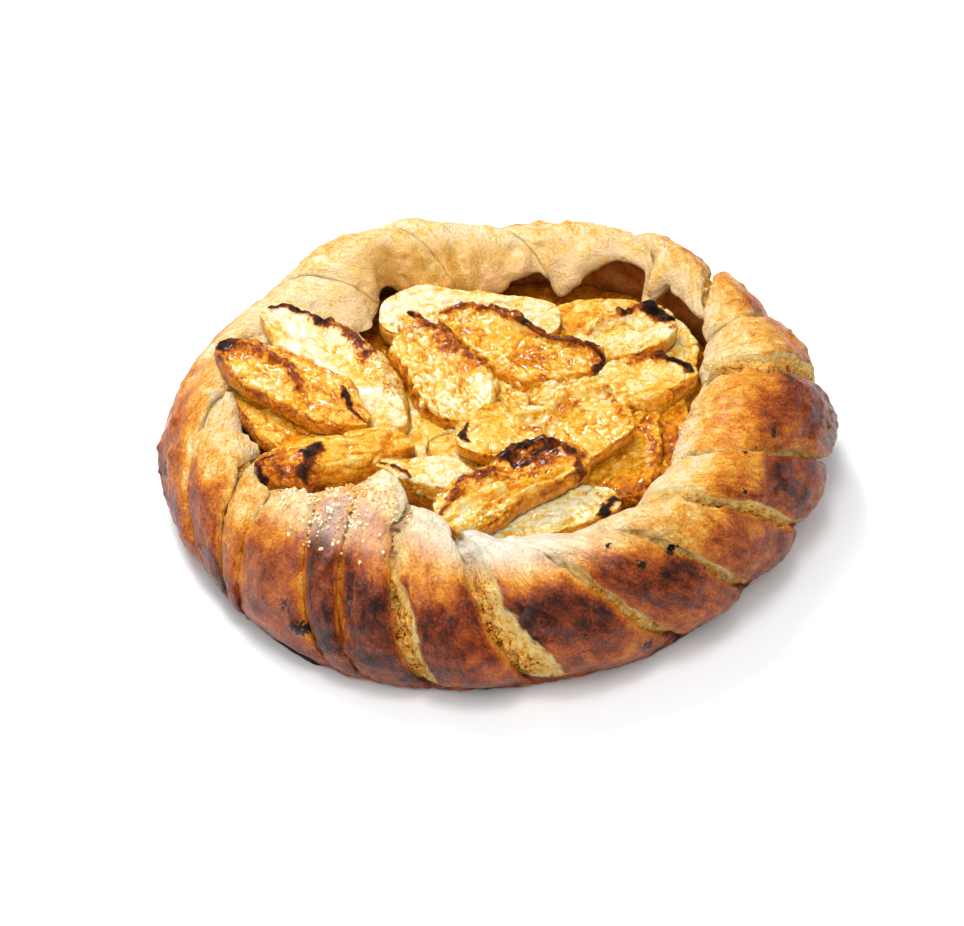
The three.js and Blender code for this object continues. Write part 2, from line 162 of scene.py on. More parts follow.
def rim_section(angle):
    """Radius and height of the case's skin at each station."""
    at = {name: rim_value(values, angle) for name, values in RIM.items()}
    hollow = np.clip(at["hollow"], 0, 1)
    lip_radius, lip_height = at["lip_radius"], at["lip_height"]
    for middle, half, length, drop in TONGUES:
        share = facing(angle, middle, half)
        lip_radius = lip_radius - length * share
        lip_height = lip_height - drop * share
    reach, crest_radius, crest_height = at["reach"], at["crest_radius"], at["crest_height"]
    none = np.zeros_like(reach)
    # where the rim is hollow, its roof and inner wall lie under the crest, elsewhere under the lip
    stations = [
        (none, none),
        (reach - FOOT_INSET, none),
        (reach - at["heel_in"], none + HEEL_HEIGHT),
        (reach, none + BELLY_HEIGHT),
        (mix(crest_radius, reach, 0.62), 0.8 * crest_height),
        (crest_radius, crest_height),
        (mix(lip_radius, crest_radius, 0.42), mix(lip_height, crest_height, 0.8)),
        (lip_radius, lip_height),
        (lip_radius + 1.8, lip_height - 2.5),
        (mix(lip_radius + 3, crest_radius - 5, hollow), mix(lip_height - 10, crest_height - 8, hollow)),
        (mix(lip_radius + 2, crest_radius - 4, hollow), mix(lip_height - 18, crest_height - 18, hollow)),
        (mix(lip_radius - 8, crest_radius - 14, hollow), none + FLOOR_HEIGHT + 1),
        (none, none + FLOOR_HEIGHT),
    ]
    radius, height = zip(*stations)
    return np.stack(radius, -1), np.stack(height, -1)


def along_section(stations, place):
    """Value at a place between the stations: straight under the case and on its floor, bent elsewhere."""
    last = stations.shape[-1] - 1
    first = np.clip(np.floor(place).astype(int), 0, last - 1)
    four = [np.take_along_axis(stations, np.clip(first + step, 0, last)[..., None], -1)[..., 0]
            for step in NEIGHBOURS]
    straight = mix(four[1], four[2], place - first)
    return np.where((first < FOOT) | (first >= TOE), straight, curve(four, place - first))


def crease_angle(pleat, place):
    index = pleat % len(PLEATS)
    from_crest = CREST - np.clip(place, HEEL - 0.2, LIP + 0.2)
    lean = np.where(from_crest > 0, LEANS[index, 0], LEANS[index, 1])
    return CREASE[index] + 360.0 * (pleat // len(PLEATS)) + from_crest * lean


def pleat_height(across):
    """A plump roll that leans: it rises out of its crease and drops steeply over the next pleat."""
    leaning = 1.3 * across ** 0.55 * np.sqrt(1 - across ** 7)
    plump = 1.05 * (1 - np.abs(2 * across ** 0.85 - 1) ** 2.2) ** 0.6
    return (leaning + plump) / 2


def pleat_share(place):
    """How much of a pleat's swell there is: none under the case or inside the lip."""
    return rising(place, HEEL - 0.8, 1.6) * falling(place, TUCK + 0.2, 2.0)


EDGE_HANG = 1.7  # degrees that the edge of a pleat with the usual swell bulges over the next one
USUAL_SWELL = 5.0
SWELL_GAIN = 1.15
SWELL_SUNK = 0.45  # share of a pleat's swell that lies inside the rim's own line
SOFT_LIP = (118, 42)  # middle and half width in degrees of the lip that went soft
LIP_MELT = 0.6  # share of a pleat's swell that the soft lip has lost


def crust_skin(pleat, across, place):
    """Points of the crust's skin in mm, with the angle of each."""
    angle = mix(crease_angle(pleat, place), crease_angle(pleat + 1, place), across)
    melted = smooth(1.4 * facing(angle, *SOFT_LIP)) * rising(place, CREST - 0.2, 1.2)
    edge = rising(across, 0.6, 0.3) * pleat_height(across) * pleat_share(place)
    angle = angle + EDGE_HANG * edge * SWELL[pleat] / USUAL_SWELL * (1 - melted)
    radii, heights = rim_section(angle)
    radius, height = along_section(radii, place), along_section(heights, place)
    step = 0.02
    before, after = np.maximum(place - step, 0), np.minimum(place + step, FLOOR)
    run = along_section(radii, after) - along_section(radii, before)
    rise = along_section(heights, after) - along_section(heights, before)
    length = np.hypot(run, rise) + 1e-9
    swell = SWELL[pleat] * SWELL_GAIN * pleat_share(place) * (pleat_height(across) - SWELL_SUNK)
    swell = swell * (1 - LIP_MELT * melted)
    radius = radius + rise / length * swell
    height = np.maximum(height - run / length * swell, 0.0)
    turn = np.radians(angle)
    return np.stack([radius * np.cos(turn), radius * np.sin(turn), height], -1), angle


LATTICE_SIZE = 32
LATTICE = np.random.default_rng(11).uniform(-1, 1, (LATTICE_SIZE,) * 3)


def lattice_value(cell, order=(0, 1, 2)):
    """A cell's own random value; each order of its axes gives another."""
    index = cell % LATTICE_SIZE
    return LATTICE[tuple(index[..., axis] for axis in order)]


def lumps(points, size, layers=1, offset=0.0):
    """Soft lumps from about -1 to 1, size mm across, each further layer half as large and as strong."""
    total, weight = np.zeros(points.shape[:-1]), 0.0
    for layer in range(layers):
        place = points / (size / 2 ** layer) + offset + 5.3 * layer
        corner = np.floor(place).astype(int)
        share = smooth(place - corner)
        value = 0.0
        for step in np.ndindex(2, 2, 2):
            part = np.where(step, share, 1 - share).prod(-1)
            value = value + part * lattice_value(corner + step)
        total += value / 2 ** layer
        weight += 1 / 2 ** layer
    return total / weight * 1.5


def crinkle(points, size, offset):
    """Small flat-topped cells with narrow valleys, as on a baked apple's face, from -1 to 1."""
    best = np.full(points.shape[:-1], 9.0)
    second = np.full(points.shape[:-1], 9.0)
    place = points / size + offset
    for step in np.ndindex(3, 3, 3):
        cell = np.floor(place).astype(int) + step - 1
        jitter = np.stack([lattice_value(cell, order) for order in ((0, 1, 2), (1, 2, 0), (2, 0, 1))], -1)
        gap = np.linalg.norm(cell + 0.5 + 0.45 * jitter - place, axis=-1)
        second = np.minimum(second, np.maximum(gap, best))
        best = np.minimum(best, gap)
    return np.clip((second - best) * 2.4, 0, 1) * 2 - 1


def grid_normals(points):
    """Outward unit normals of a grid of points whose first axis closes on itself."""
    around = np.roll(points, -1, 0) - np.roll(points, 1, 0)
    along = np.gradient(points, axis=1)
    normal = np.cross(around, along)
    return normal / (np.linalg.norm(normal, axis=-1, keepdims=True) + 1e-12)


def new_object(name, data):
    made = bpy.data.objects.new(name, data)
    bpy.context.scene.collection.objects.link(made)
    return made


def closed_mesh(name, grid, start, end, masks):
    """A closed mesh from a grid of points in mm whose first axis closes on itself, with one point at
    each end of the second. Its masks become vertex attributes."""
    columns, rows = grid.shape[:2]
    points = np.vstack([grid.reshape(-1, 3), start, end])
    points[:, :2] += RIM_CENTRE
    here = np.arange(columns)[:, None] * rows
    beside = (np.arange(1, columns + 1)[:, None] % columns) * rows
    row = np.arange(rows - 1)[None, :]
    quads = np.stack([here + row, beside + row, beside + row + 1, here + row + 1], -1).reshape(-1, 4)
    first, last = columns * rows, columns * rows + 1
    here, beside = here[:, 0], beside[:, 0]
    first_cap = np.stack([np.full(columns, first), beside, here], -1)
    last_cap = np.stack([here + rows - 1, beside + rows - 1, np.full(columns, last)], -1)
    mesh = bpy.data.meshes.new(name)
    mesh.from_pydata((points * 0.001).tolist(), [], quads.tolist() + first_cap.tolist() + last_cap.tolist())
    for mask, values in masks.items():
        kind, field = ("FLOAT_VECTOR", "vector") if values.ndim == 3 else ("FLOAT", "value")
        ends = [values[:1, 0].reshape(1, -1), values[:1, -1].reshape(1, -1)]
        flat = np.concatenate([values.reshape(columns * rows, -1), *ends])
        mesh.attributes.new(mask, kind, "POINT").data.foreach_set(field, flat.astype(np.float32).ravel())
    mesh.shade_smooth()
    return new_object(name, mesh)


SKIN_COLUMNS = 600
SKIN_ROWS = np.concatenate([
    np.linspace(0.15, FOOT, 5, endpoint=False), np.linspace(FOOT, TUCK, 112, endpoint=False),
    np.linspace(TUCK, TOE, 34, endpoint=False), np.linspace(TOE, FLOOR - 0.1, 5),
])
MIDDLE_OF_RIM = 95.0  # mm from the hub

# columns of points for each pleat, more for a torn one, and closer together at its creases
pleat_turn = np.diff(np.append(CREASE, CREASE[0] + 360))
shares = pleat_turn ** 0.7 * (1 + 1.2 * TORN)
columns = np.round(SKIN_COLUMNS * shares / shares.sum()).astype(int)
shares = [np.arange(count) / count for count in columns]
across = np.concatenate([share - 0.6 * np.sin(2 * np.pi * share) / (2 * np.pi) for share in shares])
across = across[:, None] + np.zeros(len(SKIN_ROWS))
pleat = np.repeat(np.arange(len(PLEATS)), columns)[:, None] + np.zeros(len(SKIN_ROWS), int)
place = SKIN_ROWS[None, :] + np.zeros_like(across)
skin, angle = crust_skin(pleat, across, place)

# the torn dough of a crease: where the next pleat pulled the soft inside open
open_share = TORN[pleat] * falling(place, LIP + 0.2, 1.0) * rising(place, HEEL - 0.1, 0.6)
ragged = 0.03 * lumps(skin, 6, 2) + 0.014 * lumps(skin, 2, 1, 5.0)
into_tear = open_share * (1 + 0.3 * lumps(skin, 14, 1, 9.0)) + ragged - across
torn = smooth(into_tear / 0.05) * (open_share > 0.02)
# how deep into its tear a point lies, which also sets the painted shade in the tear
tear_depth = np.clip(0.5 + into_tear / 0.3, 0, 1) * smooth(open_share / 0.03)

# browning: each pleat's own, along the section, less in the creases and on the pleat's thin edge
UNDERSIDE_BROWN = 0.70
belly, shoulder, crest, brow = (BROWNED[pleat, column] for column in range(4))
wander = place + 0.28 * lumps(skin, 9, 2, 7.0)
brown = UNDERSIDE_BROWN
for next_brown, start, span in (
    (belly, HEEL - 0.4, 1.2), (shoulder, BELLY - 0.2, 0.9), (crest, CROWN_END[pleat], 0.65),
    (brow, CREST - 0.1, 1.0), (0.0, BROW - 0.1, 1.0),
):
    brown = mix(brown, next_brown, rising(wander, start, span))
crown = rising(across, 0, 0.30) * falling(across, 1.0, 0.16)
outside = rising(place, HEEL + 0.2, 0.8) * falling(place, BROW + 0.5, 1.0)
brown = brown * mix(1.0, mix(0.5, 1.0, crown), outside)
brown = brown + (0.10 * lumps(skin, 14, 2, 3.0) + 0.10 * lumps(skin, 4, 2, 9.0)) * smooth(brown / 0.3)

# the whitened saddle at the front, the whitening on the left front, and where the egg wash shines
WHITE_SADDLE = (268, 20)
SUGAR_DUST_AND_SHEEN = (235, 13)
whitened_and_sheen = facing(angle, *WHITE_SADDLE) * rising(place, SHOULDER + 0.4, 0.8) * falling(place, TUCK, 0.5)
# on the left front the whitening is partly sugar dust and partly a painted sheen
sugar_dust_and_sheen = 0.42 * facing(angle, *SUGAR_DUST_AND_SHEEN) * rising(place, SHOULDER + 0.2, 0.5) * falling(place, BROW + 0.3, 0.6)
whitened_and_sheen = np.maximum(whitened_and_sheen, sugar_dust_and_sheen)
washed = 0.40
for gloss, middle, half in ((0.65, 238, 32), (0.35, 10, 30), (0.3, 285, 22)):
    washed = washed + gloss * facing(angle, middle, half)

burnt = np.zeros_like(brown)
for middle, station, wide, tall, depth in BURNT_SPOTS:
    ragged = 1 + 0.6 * lumps(skin, 3, 2, middle)
    spot = 1.7 * facing(angle, middle, wide) * near(place, station, tall) * ragged
    burnt = np.maximum(burnt, depth * smooth(spot - 0.45))

# relief in mm: soft undulation, blisters, ragged crumb in the tears, and the lip's hanging folds
SOFTEST = (110, 32)
LEFT_LOBE = (146, 15)
inside_lip = rising(place, TUCK + 0.1, 0.6)
hollow_here = np.clip(rim_value(RIM["hollow"], angle), 0, 1)
soft_back = rising(place, CREST + 0.2, 0.8) * hollow_here * mix(0.3, 1.0, facing(angle, *SOFTEST))
relief = 0.9 * lumps(skin, 15, 2) + 0.40 * lumps(skin, 4.5, 2, 2.0) + 0.18 * lumps(skin, 1.8, 1, 4.0)
blisters = np.maximum(lumps(skin, 3.5, 1, 13.0) - 0.55, 0) * rising(place, HEEL, 1)
relief = relief + 1.3 * blisters + 0.10 * crinkle(skin, 4.0, 3.0) * smooth(brown / 0.4)
fibres = np.stack([angle * 1.9, place * 7.0, across * 2], -1)
crumb = 1.0 * lumps(fibres, 2.0, 2, 1.0) + 0.7 * lumps(skin, 2.4, 2, 6.0)
relief = relief + torn * (crumb - 1.3)
hanging = np.stack([angle * 1.6, place * 2.5, 0 * place], -1)
relief = relief + soft_back * (1.0 * lumps(skin, 8, 2, 8.0) + 1.3 * lumps(hanging, 7, 2, 4.0))
lobe_folds = facing(angle, *LEFT_LOBE) * rising(place, CREST + 0.6, 0.8)
relief = relief + lobe_folds * (0.7 * lumps(skin, 7, 2, 18.0) + 0.8 * lumps(hanging, 5, 1, 14.0))
relief = relief * rising(place, FOOT, 0.5) * falling(place, FLOOR - 0.4, 0.6)

# the dough's own directions, about one unit a mm: along a pleat and across it
width_mm = np.radians(pleat_turn) * MIDDLE_OF_RIM
strands = np.stack([place * 6.0, across * (width_mm[pleat] / 1.1), 0 * place], -1)
strands = strands + lumps(skin, 3, 2, 15.0)[..., None]

skin = skin + grid_normals(skin) * relief[..., None]
skin[..., 2] = np.maximum(skin[..., 2], 0.0)
crust = closed_mesh("dough_case", skin, [[0, 0, 0]], [[0, 0, FLOOR_HEIGHT]], {
    "brown": brown, "torn": tear_depth, "burnt": burnt, "wet": inside_lip, "soft": soft_back,
    "whitened_and_sheen": whitened_and_sheen, "washed": washed, "strands": strands,
    "drips": soft_back * rising(place, BROW + 0.2, 0.8),
})


# the functions below add their nodes to tree, the node tree that is being made
def feed(socket, value):
    """Link a socket to another one, or set it to a plain value."""
    if isinstance(value, bpy.types.NodeSocket):
        tree.links.new(value, socket)
    else:
        socket.default_value = value


def material(name, roughness, **settings):
    """A new node material with plain settings on its Principled shader; gives its tree and the shader too."""
    made = bpy.data.materials.new(name)
    made.use_nodes = True
    shader = made.node_tree.nodes["Principled BSDF"]
    shader.inputs["Roughness"].default_value = roughness
    for socket, value in settings.items():
        shader.inputs[socket.replace("_", " ")].default_value = value
    return made, made.node_tree, shader


def node(kind, **settings):
    """A node with its settings: words with a leading capital are sockets, the rest are properties."""
    made = tree.nodes.new(kind)
    for name, value in settings.items():
        if name[0].isupper():
            feed(made.inputs[name.replace("_", " ")], value)
        else:
            setattr(made, name, value)
    return made


def mask(name):
    return node("ShaderNodeAttribute", attribute_name=name).outputs["Fac"]


def maths(operation, a, b=0.0, c=0.0, clamp=False):
    made = node("ShaderNodeMath", operation=operation, use_clamp=clamp)
    for socket, value in zip(made.inputs, (a, b, c)):
        feed(socket, value)
    return made.outputs[0]


def scaled(value, times, plus, clamp=False):
    return maths("MULTIPLY_ADD", value, times, plus, clamp)


def stirred(value, grain, share, clamp=False):
    """A value with noise added to it, from half the share below to half the share above."""
    return scaled(maths("SUBTRACT", grain, 0.5), share, value, clamp)


def speckle(place, scale, detail, rough):
    """Noise from 0 to 1, with about scale patches to one unit of the place."""
    made = node("ShaderNodeTexNoise", Vector=place, Scale=scale, Detail=detail, Roughness=rough)
    return made.outputs["Fac"]


def noise(size, detail=4.0, rough=0.6):
    """Noise from 0 to 1 whose patches are size mm across."""
    return speckle(node("ShaderNodeTexCoord").outputs["Object"], 1000.0 / size, detail, rough)


def bumpy(shader, height, depth, strength=1.0):
    """Fine relief on a shader; depth is what a height of 1 stands for, in metres."""
    bump = node("ShaderNodeBump", Height=height, Distance=depth, Strength=strength)
    feed(shader.inputs["Normal"], bump.outputs[0])


def screen(value):
    """Linear light of a 0 to 255 screen value."""
    value = value / 255.0
    return value / 12.92 if value <= 0.04045 else ((value + 0.055) / 1.055) ** 2.4


def shades(value, stops):
    """Colour by value: stops are (place, (red, green, blue)) in 0 to 255 screen values."""
    ramp = node("ShaderNodeValToRGB", Fac=value)
    elements = ramp.color_ramp.elements
    while len(elements) < len(stops):
        elements.new(0.5)
    for element, (spot, colour) in zip(elements, stops):
        element.position = spot
        element.color = (*[screen(c) for c in colour], 1.0)
    return ramp.outputs["Color"]


def blend(share, a, b):
    made = node("ShaderNodeMix", data_type="RGBA")
    share_at, first_colour, second_colour, result = 0, 6, 7, 2
    for at, value in ((share_at, share), (first_colour, a), (second_colour, b)):
        feed(made.inputs[at], value)
    return made.outputs[result]


# the patches and the fine grain that heat raises on dough and apple alike
tree = baked_grain = bpy.data.node_groups.new("baked_grain", "ShaderNodeTree")
for socket, usual in (("Patch size", 5.0), ("Grain size", 0.9)):
    made = tree.interface.new_socket(socket, in_out="INPUT", socket_type="NodeSocketFloat")
    made.default_value = usual
for socket in ("Patches", "Grain"):
    tree.interface.new_socket(socket, in_out="OUTPUT", socket_type="NodeSocketFloat")
given = node("NodeGroupInput").outputs
gives = node("NodeGroupOutput").inputs
for size, detail, output in (("Patch size", 5.0, "Patches"), ("Grain size", 4.0, "Grain")):
    everywhere = node("ShaderNodeTexCoord").outputs["Object"]
    feed(gives[output], speckle(everywhere, maths("DIVIDE", 1000.0, given[size]), detail, 0.62))

dough, tree, shader = material("baked_dough", 0.5, Coat_Roughness=0.33, Specular_IOR_Level=0.22,
                               Subsurface_Weight=0.12, Subsurface_Scale=0.002,
                               Subsurface_Radius=(1.0, 0.5, 0.2))
baked = node("ShaderNodeGroup", node_tree=baked_grain, Patch_size=7.0, Grain_size=0.9).outputs
patches, grain = baked["Patches"], baked["Grain"]
along_strands = node("ShaderNodeAttribute", attribute_name="strands").outputs["Vector"]
strand = speckle(along_strands, 1.0, 4.0, 0.7)
streak = speckle(along_strands, 0.4, 5.0, 0.65)

# fine creases run where a broad noise passes its middle, but not on the soft lip
folding = speckle(along_strands, 0.22, 3.0, 0.55)
folding = maths("ABSOLUTE", scaled(folding, 2.0, -1.0))
not_soft = scaled(mask("soft"), -1.0, 1.0, True)
fine_crease = maths("MULTIPLY", scaled(folding, -9.0, 1.0, True), not_soft)

# the baked skin, from cream to nearly black
level = stirred(mask("brown"), patches, 0.50)
level = stirred(level, streak, 0.50)
# painted shade: the fine creases a little browner
level = scaled(fine_crease, 0.08, level)
level = stirred(level, grain, 0.60, True)
skin_colour = shades(level, [
    (0.00, (253, 233, 192)), (0.12, (250, 209, 126)), (0.26, (242, 168, 54)), (0.42, (216, 124, 24)),
    (0.58, (178, 84, 22)), (0.74, (134, 54, 16)), (0.88, (80, 31, 12)), (1.00, (34, 15, 9)),
])

# the soft inside in the tears: ragged at its edge, with painted shade the deeper it lies under the next pleat
ragged_tear = stirred(mask("torn"), strand, 0.25)
open_tear = scaled(ragged_tear, 9.0, -4.0, True)
crumb_level = scaled(strand, 2.6, scaled(grain, 2.0, -1.66), True)
# painted shade: the crumb is darker the deeper into the tear it lies
painted_tear_shade = scaled(mask("torn"), -1.15, 0.92)
crumb_level = maths("ADD", crumb_level, painted_tear_shade, clamp=True)
crumb_colour = shades(crumb_level, [
    (0.00, (112, 50, 12)), (0.25, (236, 148, 44)), (0.60, (255, 198, 92)), (0.90, (255, 226, 152)),
])
colour = blend(open_tear, skin_colour, crumb_colour)

# the whitening, the pale lip at the back, darker lower down, and the wet wall under it
# towards near white on the saddle and the left front, where it is partly sugar dust and partly painted sheen
whitening_share = maths("MULTIPLY", mask("whitened_and_sheen"), scaled(streak, 1.6, 0.2, True))
colour = blend(whitening_share, colour, (*[screen(c) for c in (255, 246, 230)], 1))
# the soft lip is darker lower down
lower_lip_level = scaled(mask("drips"), -0.15, patches)
soft_colour = shades(lower_lip_level, [
    (0.32, (210, 142, 38)), (0.50, (228, 168, 64)), (0.68, (244, 202, 120)),
])
soft = maths("MULTIPLY", mask("soft"), maths("SUBTRACT", 1.0, level, clamp=True))
colour = blend(soft, colour, soft_colour)
# the wet inner wall's own amber, made lighter with painted light where little lamp light reaches under the
# lip
wet_wall_with_painted_light = shades(patches, [
    (0.30, (170, 76, 12)), (0.50, (206, 120, 40)), (0.70, (226, 160, 88)),
])
colour = blend(mask("wet"), colour, wet_wall_with_painted_light)

# black spots, with a ragged edge that follows the grain
char = scaled(stirred(mask("burnt"), grain, 2.2), 4.0, -1.5, True)
colour = blend(char, colour, (0.013, 0.010, 0.010, 1))
feed(shader.inputs["Base Color"], colour)

# the egg wash and the melted lip shine, the crumb is dull
rough = scaled(grain, 0.4, scaled(mask("washed"), -0.12, 0.26))
rough = scaled(mask("soft"), -0.18, rough)
rough = scaled(open_tear, 0.3, rough)
rough = scaled(mask("wet"), -0.2, rough, True)
feed(shader.inputs["Roughness"], rough)
wash = maths("MULTIPLY", scaled(level, 0.3, 0.3, True), mask("washed"))
for wet_place, shine in (("wet", 0.7), ("soft", 0.8)):
    wash = maths("MAXIMUM", wash, maths("MULTIPLY", mask(wet_place), shine))
feed(shader.inputs["Coat Weight"], scaled(open_tear, -1.0, wash, True))
height = scaled(noise(2.2, 5, 0.65), 0.6, maths("MULTIPLY", grain, 0.9))
height = scaled(streak, 0.8, scaled(strand, 0.4, height))
height = scaled(fine_crease, -0.25, height)
height = scaled(maths("MULTIPLY", strand, open_tear), 1.2, height)
bumpy(shader, height, 0.0018)
crust.data.materials.append(dough)
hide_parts("crust")
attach(crust, "root")

# The sugar. A pinch of coarse sugar that fell on the left front pleats before baking. The crystals
# sit in the egg wash, sunk a little into the skin.
SUGAR_COUNT = 250
SUGAR_SIZE = (0.35, 0.90)  # mm from the middle to a corner
SUGAR_LIFT = 0.3  # share of that size that a crystal's middle stands above the skin
SUGARED = (233, 11)  # middle and half width in degrees of the sprinkled pleats
CRYSTAL_CORNERS = (
    (1, 1, 1), (1, -1, -1), (-1, 1, -1), (-1, -1, 1), (1, 1, -1), (1, -1, 1), (-1, 1, 1), (-1, -1, -1),
)
CRYSTAL_SIDES = ((5, 1, 4, 0), (7, 3, 6, 2), (6, 3, 5, 0), (1, 7, 2, 4), (4, 2, 6, 0), (5, 3, 7, 1))
chance = np.random.default_rng(5)
stray = chance.normal(0, 3, angle.shape)
sprinkled = np.abs(turned(angle, SUGARED[0]) + stray) < SUGARED[1]
sprinkled = sprinkled & (place > SHOULDER + 0.2) & (place < BROW + 0.6)
columns_there, rows_there = np.nonzero(sprinkled)
chosen = chance.choice(len(columns_there), SUGAR_COUNT, replace=False)
middles = skin[columns_there[chosen], rows_there[chosen]] + [*RIM_CENTRE, 0]
outward = grid_normals(skin)[columns_there[chosen], rows_there[chosen]]
corners, faces = [], []
for middle, away in zip(middles, outward):
    size = chance.uniform(*SUGAR_SIZE)
    turn = np.linalg.qr(chance.normal(size=(3, 3)))[0]
    first = len(corners)
    for side in CRYSTAL_CORNERS:
        reach = turn @ side * size * chance.uniform(0.45, 0.65)
        corners.append(tuple((middle + away * SUGAR_LIFT * size + reach) * 0.001))
    for loop in CRYSTAL_SIDES:
        faces.append([first + corner for corner in loop])
sugar_mesh = bpy.data.meshes.new("sugar_crystals")
sugar_mesh.from_pydata(corners, [], faces)
sugar = new_object("sugar_crystals", sugar_mesh)
crystal, tree, shader = material("sugar_crystal", 0.12, Specular_IOR_Level=0.6,
                                 Subsurface_Weight=0.4, Subsurface_Scale=0.001)
clear = shades(noise(6.0, 1.0), [(0.4, (252, 236, 208)), (0.6, (232, 182, 108))])
feed(shader.inputs["Base Color"], clear)
sugar_mesh.materials.append(crystal)
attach(sugar, "root")

# The dark heel edge. A thin black rim that stands out from under the left front of the case; it lies
# flat and meets the dough.
HEEL_EDGE_FROM, HEEL_EDGE_TO = 222.0, 245.0
HEEL_EDGE_REACH = 1.8  # mm that it stands out from under the case
HEEL_EDGE_START = 9.0  # mm from the case's widest line in to where it begins
HEEL_EDGE_UNDER = 4.0  # mm of it that lie under the case's heel
HEEL_EDGE_SAMPLES = 80
run = np.linspace(0, 1, HEEL_EDGE_SAMPLES)
fullness = np.sin(np.pi * run) ** 0.5
heel_edge_angle = np.radians(mix(HEEL_EDGE_FROM, HEEL_EDGE_TO, run))
foot = rim_value(RIM["reach"], np.degrees(heel_edge_angle)) - HEEL_EDGE_START
line = np.stack([np.cos(heel_edge_angle), np.sin(heel_edge_angle), 0 * run], -1)
spread = HEEL_EDGE_REACH * fullness * (1 + 0.9 * lumps(line * foot[:, None], 9, 3))
rows_across = []
# share of the way out, and height in mm
for share, level in ((0.0, 0.2), (0.0, 2.6), (0.45, 2.2), (0.85, 1.2), (1.0, 0.2)):
    rim_point = line * (foot + share * (HEEL_EDGE_UNDER + spread))[:, None]
    rim_point[:, 2] = level * mix(0.3, 1.0, fullness)
    rows_across.append(rim_point)
heel_edge_grid = np.stack(rows_across)
heel_edge_first, heel_edge_last = heel_edge_grid[:, 0].mean(0)[None], heel_edge_grid[:, -1].mean(0)[None]
heel_edge_piece = closed_mesh("dark_heel_edge", heel_edge_grid, heel_edge_first, heel_edge_last, {})
heel_edge_black, tree, shader = material("dark_heel_edge", 0.4, Specular_IOR_Level=0.4)
heel_edge_colour = shades(noise(2.0), [(0.4, (16, 12, 10)), (0.65, (64, 32, 18))])
feed(shader.inputs["Base Color"], heel_edge_colour)
bumpy(shader, noise(1.5), 0.001, 0.8)
heel_edge_piece.data.materials.append(heel_edge_black)
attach(heel_edge_piece, "root")

# The apple slices. Thick wedges of peeled apple laid over one another in a loose heap, baked until
# the faces are soft and wrinkled, the flanks amber and the thin upper edges dark or black. Each
# is sunk a little into those under it.

CROWN = 2.5  # mm that the middle of a face stands above its given height
END_FALL = 2.5  # mm that the ends lie lower, at most
HALF = 12.0  # mm that 1 stands for in the places across of crests and marks
SLICE_ROWS = 120
SLICE_SIDES = 120
FACE_SHARE = 0.62  # of the points round a slice that lie on its face
GAP = 0.3  # mm between one slice and the next


def half_width(widths, along):
    """Half width of a slice along its length, smooth through its five places."""
    widths = np.asarray(widths, float)
    place = np.clip((along / 0.86 + 1) * 2, 0, 4)
    first = np.clip(np.floor(place).astype(int), 0, 3)
    return curve([widths[np.clip(first + step, 0, 4)] for step in NEIGHBOURS], place - first)


def side_fall(share, rim, rounded):
    """How far the face has fallen towards a side: nothing until its rounded part, and rim at the side."""
    return rim * (1 - np.sqrt(1 - np.clip((share - 1 + rounded) / rounded, 0, 1) ** 2))


def slice_skin(form, along, around):
    """Points of a slice's skin in its own directions: along, across and up. Also the share across, how
    much each point faces up, and how far the ends have closed."""
    blunt = np.where(along < 0, form["ends"][0], form["ends"][1])
    cap = np.sqrt(np.maximum(1 - np.abs(along) ** blunt, 0))
    face = around < FACE_SHARE
    back_share = (around - FACE_SHARE) / (1 - FACE_SHARE)
    swing = np.where(face, 1 - 2 * around / FACE_SHARE, 2 * back_share - 1)
    across = 1.5 * swing - 0.5 * swing ** 3
    half = np.where(across > 0, half_width(form["left"], along), half_width(form["right"], along))
    length = form["length"] / 2 * along
    outline = np.stack([length, HALF * across, 0 * along + form["at"][0]], -1)
    half = half * (1 + 0.08 * lumps(outline, 7, 2)) + 0.45 * lumps(outline, 3, 2, 3.0)
    (rim_left, round_left), (rim_right, round_right) = form["edges"]
    top = -side_fall(across, rim_left, round_left) - side_fall(-across, rim_right, round_right)
    rim = mix(rim_right, rim_left, smooth((across + 1) / 2))
    under = -rim - (form["thick"] - rim) * (1 - np.abs(across) ** 2.4) ** 0.6
    tilt = np.where(face, 1 + top / np.maximum(rim, 0.1), 0)
    ridge_across, rise = form["ridge"]
    tent = np.minimum((1 - across) / (1 - ridge_across), (1 + across) / (1 + ridge_across))
    relief = form["dish"] * (across ** 2 - 0.5) * 1.6 + rise * tent ** 1.3
    end_level = CROWN - np.minimum(END_FALL, rim)
    height = CROWN + np.where(face, top + relief * tilt, under)
    height = end_level + (height - end_level) * cap ** 0.35
    return np.stack([length, half * cap * across, height], -1), across, tilt, cap


def crest_at(points, form, width, line):
    """1 on a crest's line, falling to nothing beside it."""
    scale = np.array([form["length"] / 2, HALF])
    nearest = np.full(points.shape[:-1], 99.0)
    for first, last in zip(line[:-1], line[1:]):
        first, last = np.array(first) * scale, np.array(last) * scale
        step = last - first
        share = np.clip(((points - first) @ step) / (step @ step), 0, 1)
        away = np.linalg.norm(points - first - share[..., None] * step, axis=-1)
        nearest = np.minimum(nearest, away)
    return near(nearest, 0, width)


def placed(form, points, along):
    """Slice points turned and set into the heap."""
    roll, turn = math.radians(form["roll"]), math.radians(form["turn"])
    x, y, z = points[..., 0], points[..., 1], points[..., 2]
    y, z = y * math.cos(roll) - z * math.sin(roll), y * math.sin(roll) + z * math.cos(roll)
    x, y = x * math.cos(turn) - y * math.sin(turn), x * math.sin(turn) + y * math.cos(turn)
    z = z + mix(form["face"][0], form["face"][1], (along + 1) / 2)
    return np.stack([x + form["at"][0], y + form["at"][1], z], -1)


# the underside of what has been laid so far, in square cells over the tart
CEILING_CELL = 0.5
CEILING_CELLS = 520
ceiling = np.full((CEILING_CELLS, CEILING_CELLS), 99.0)


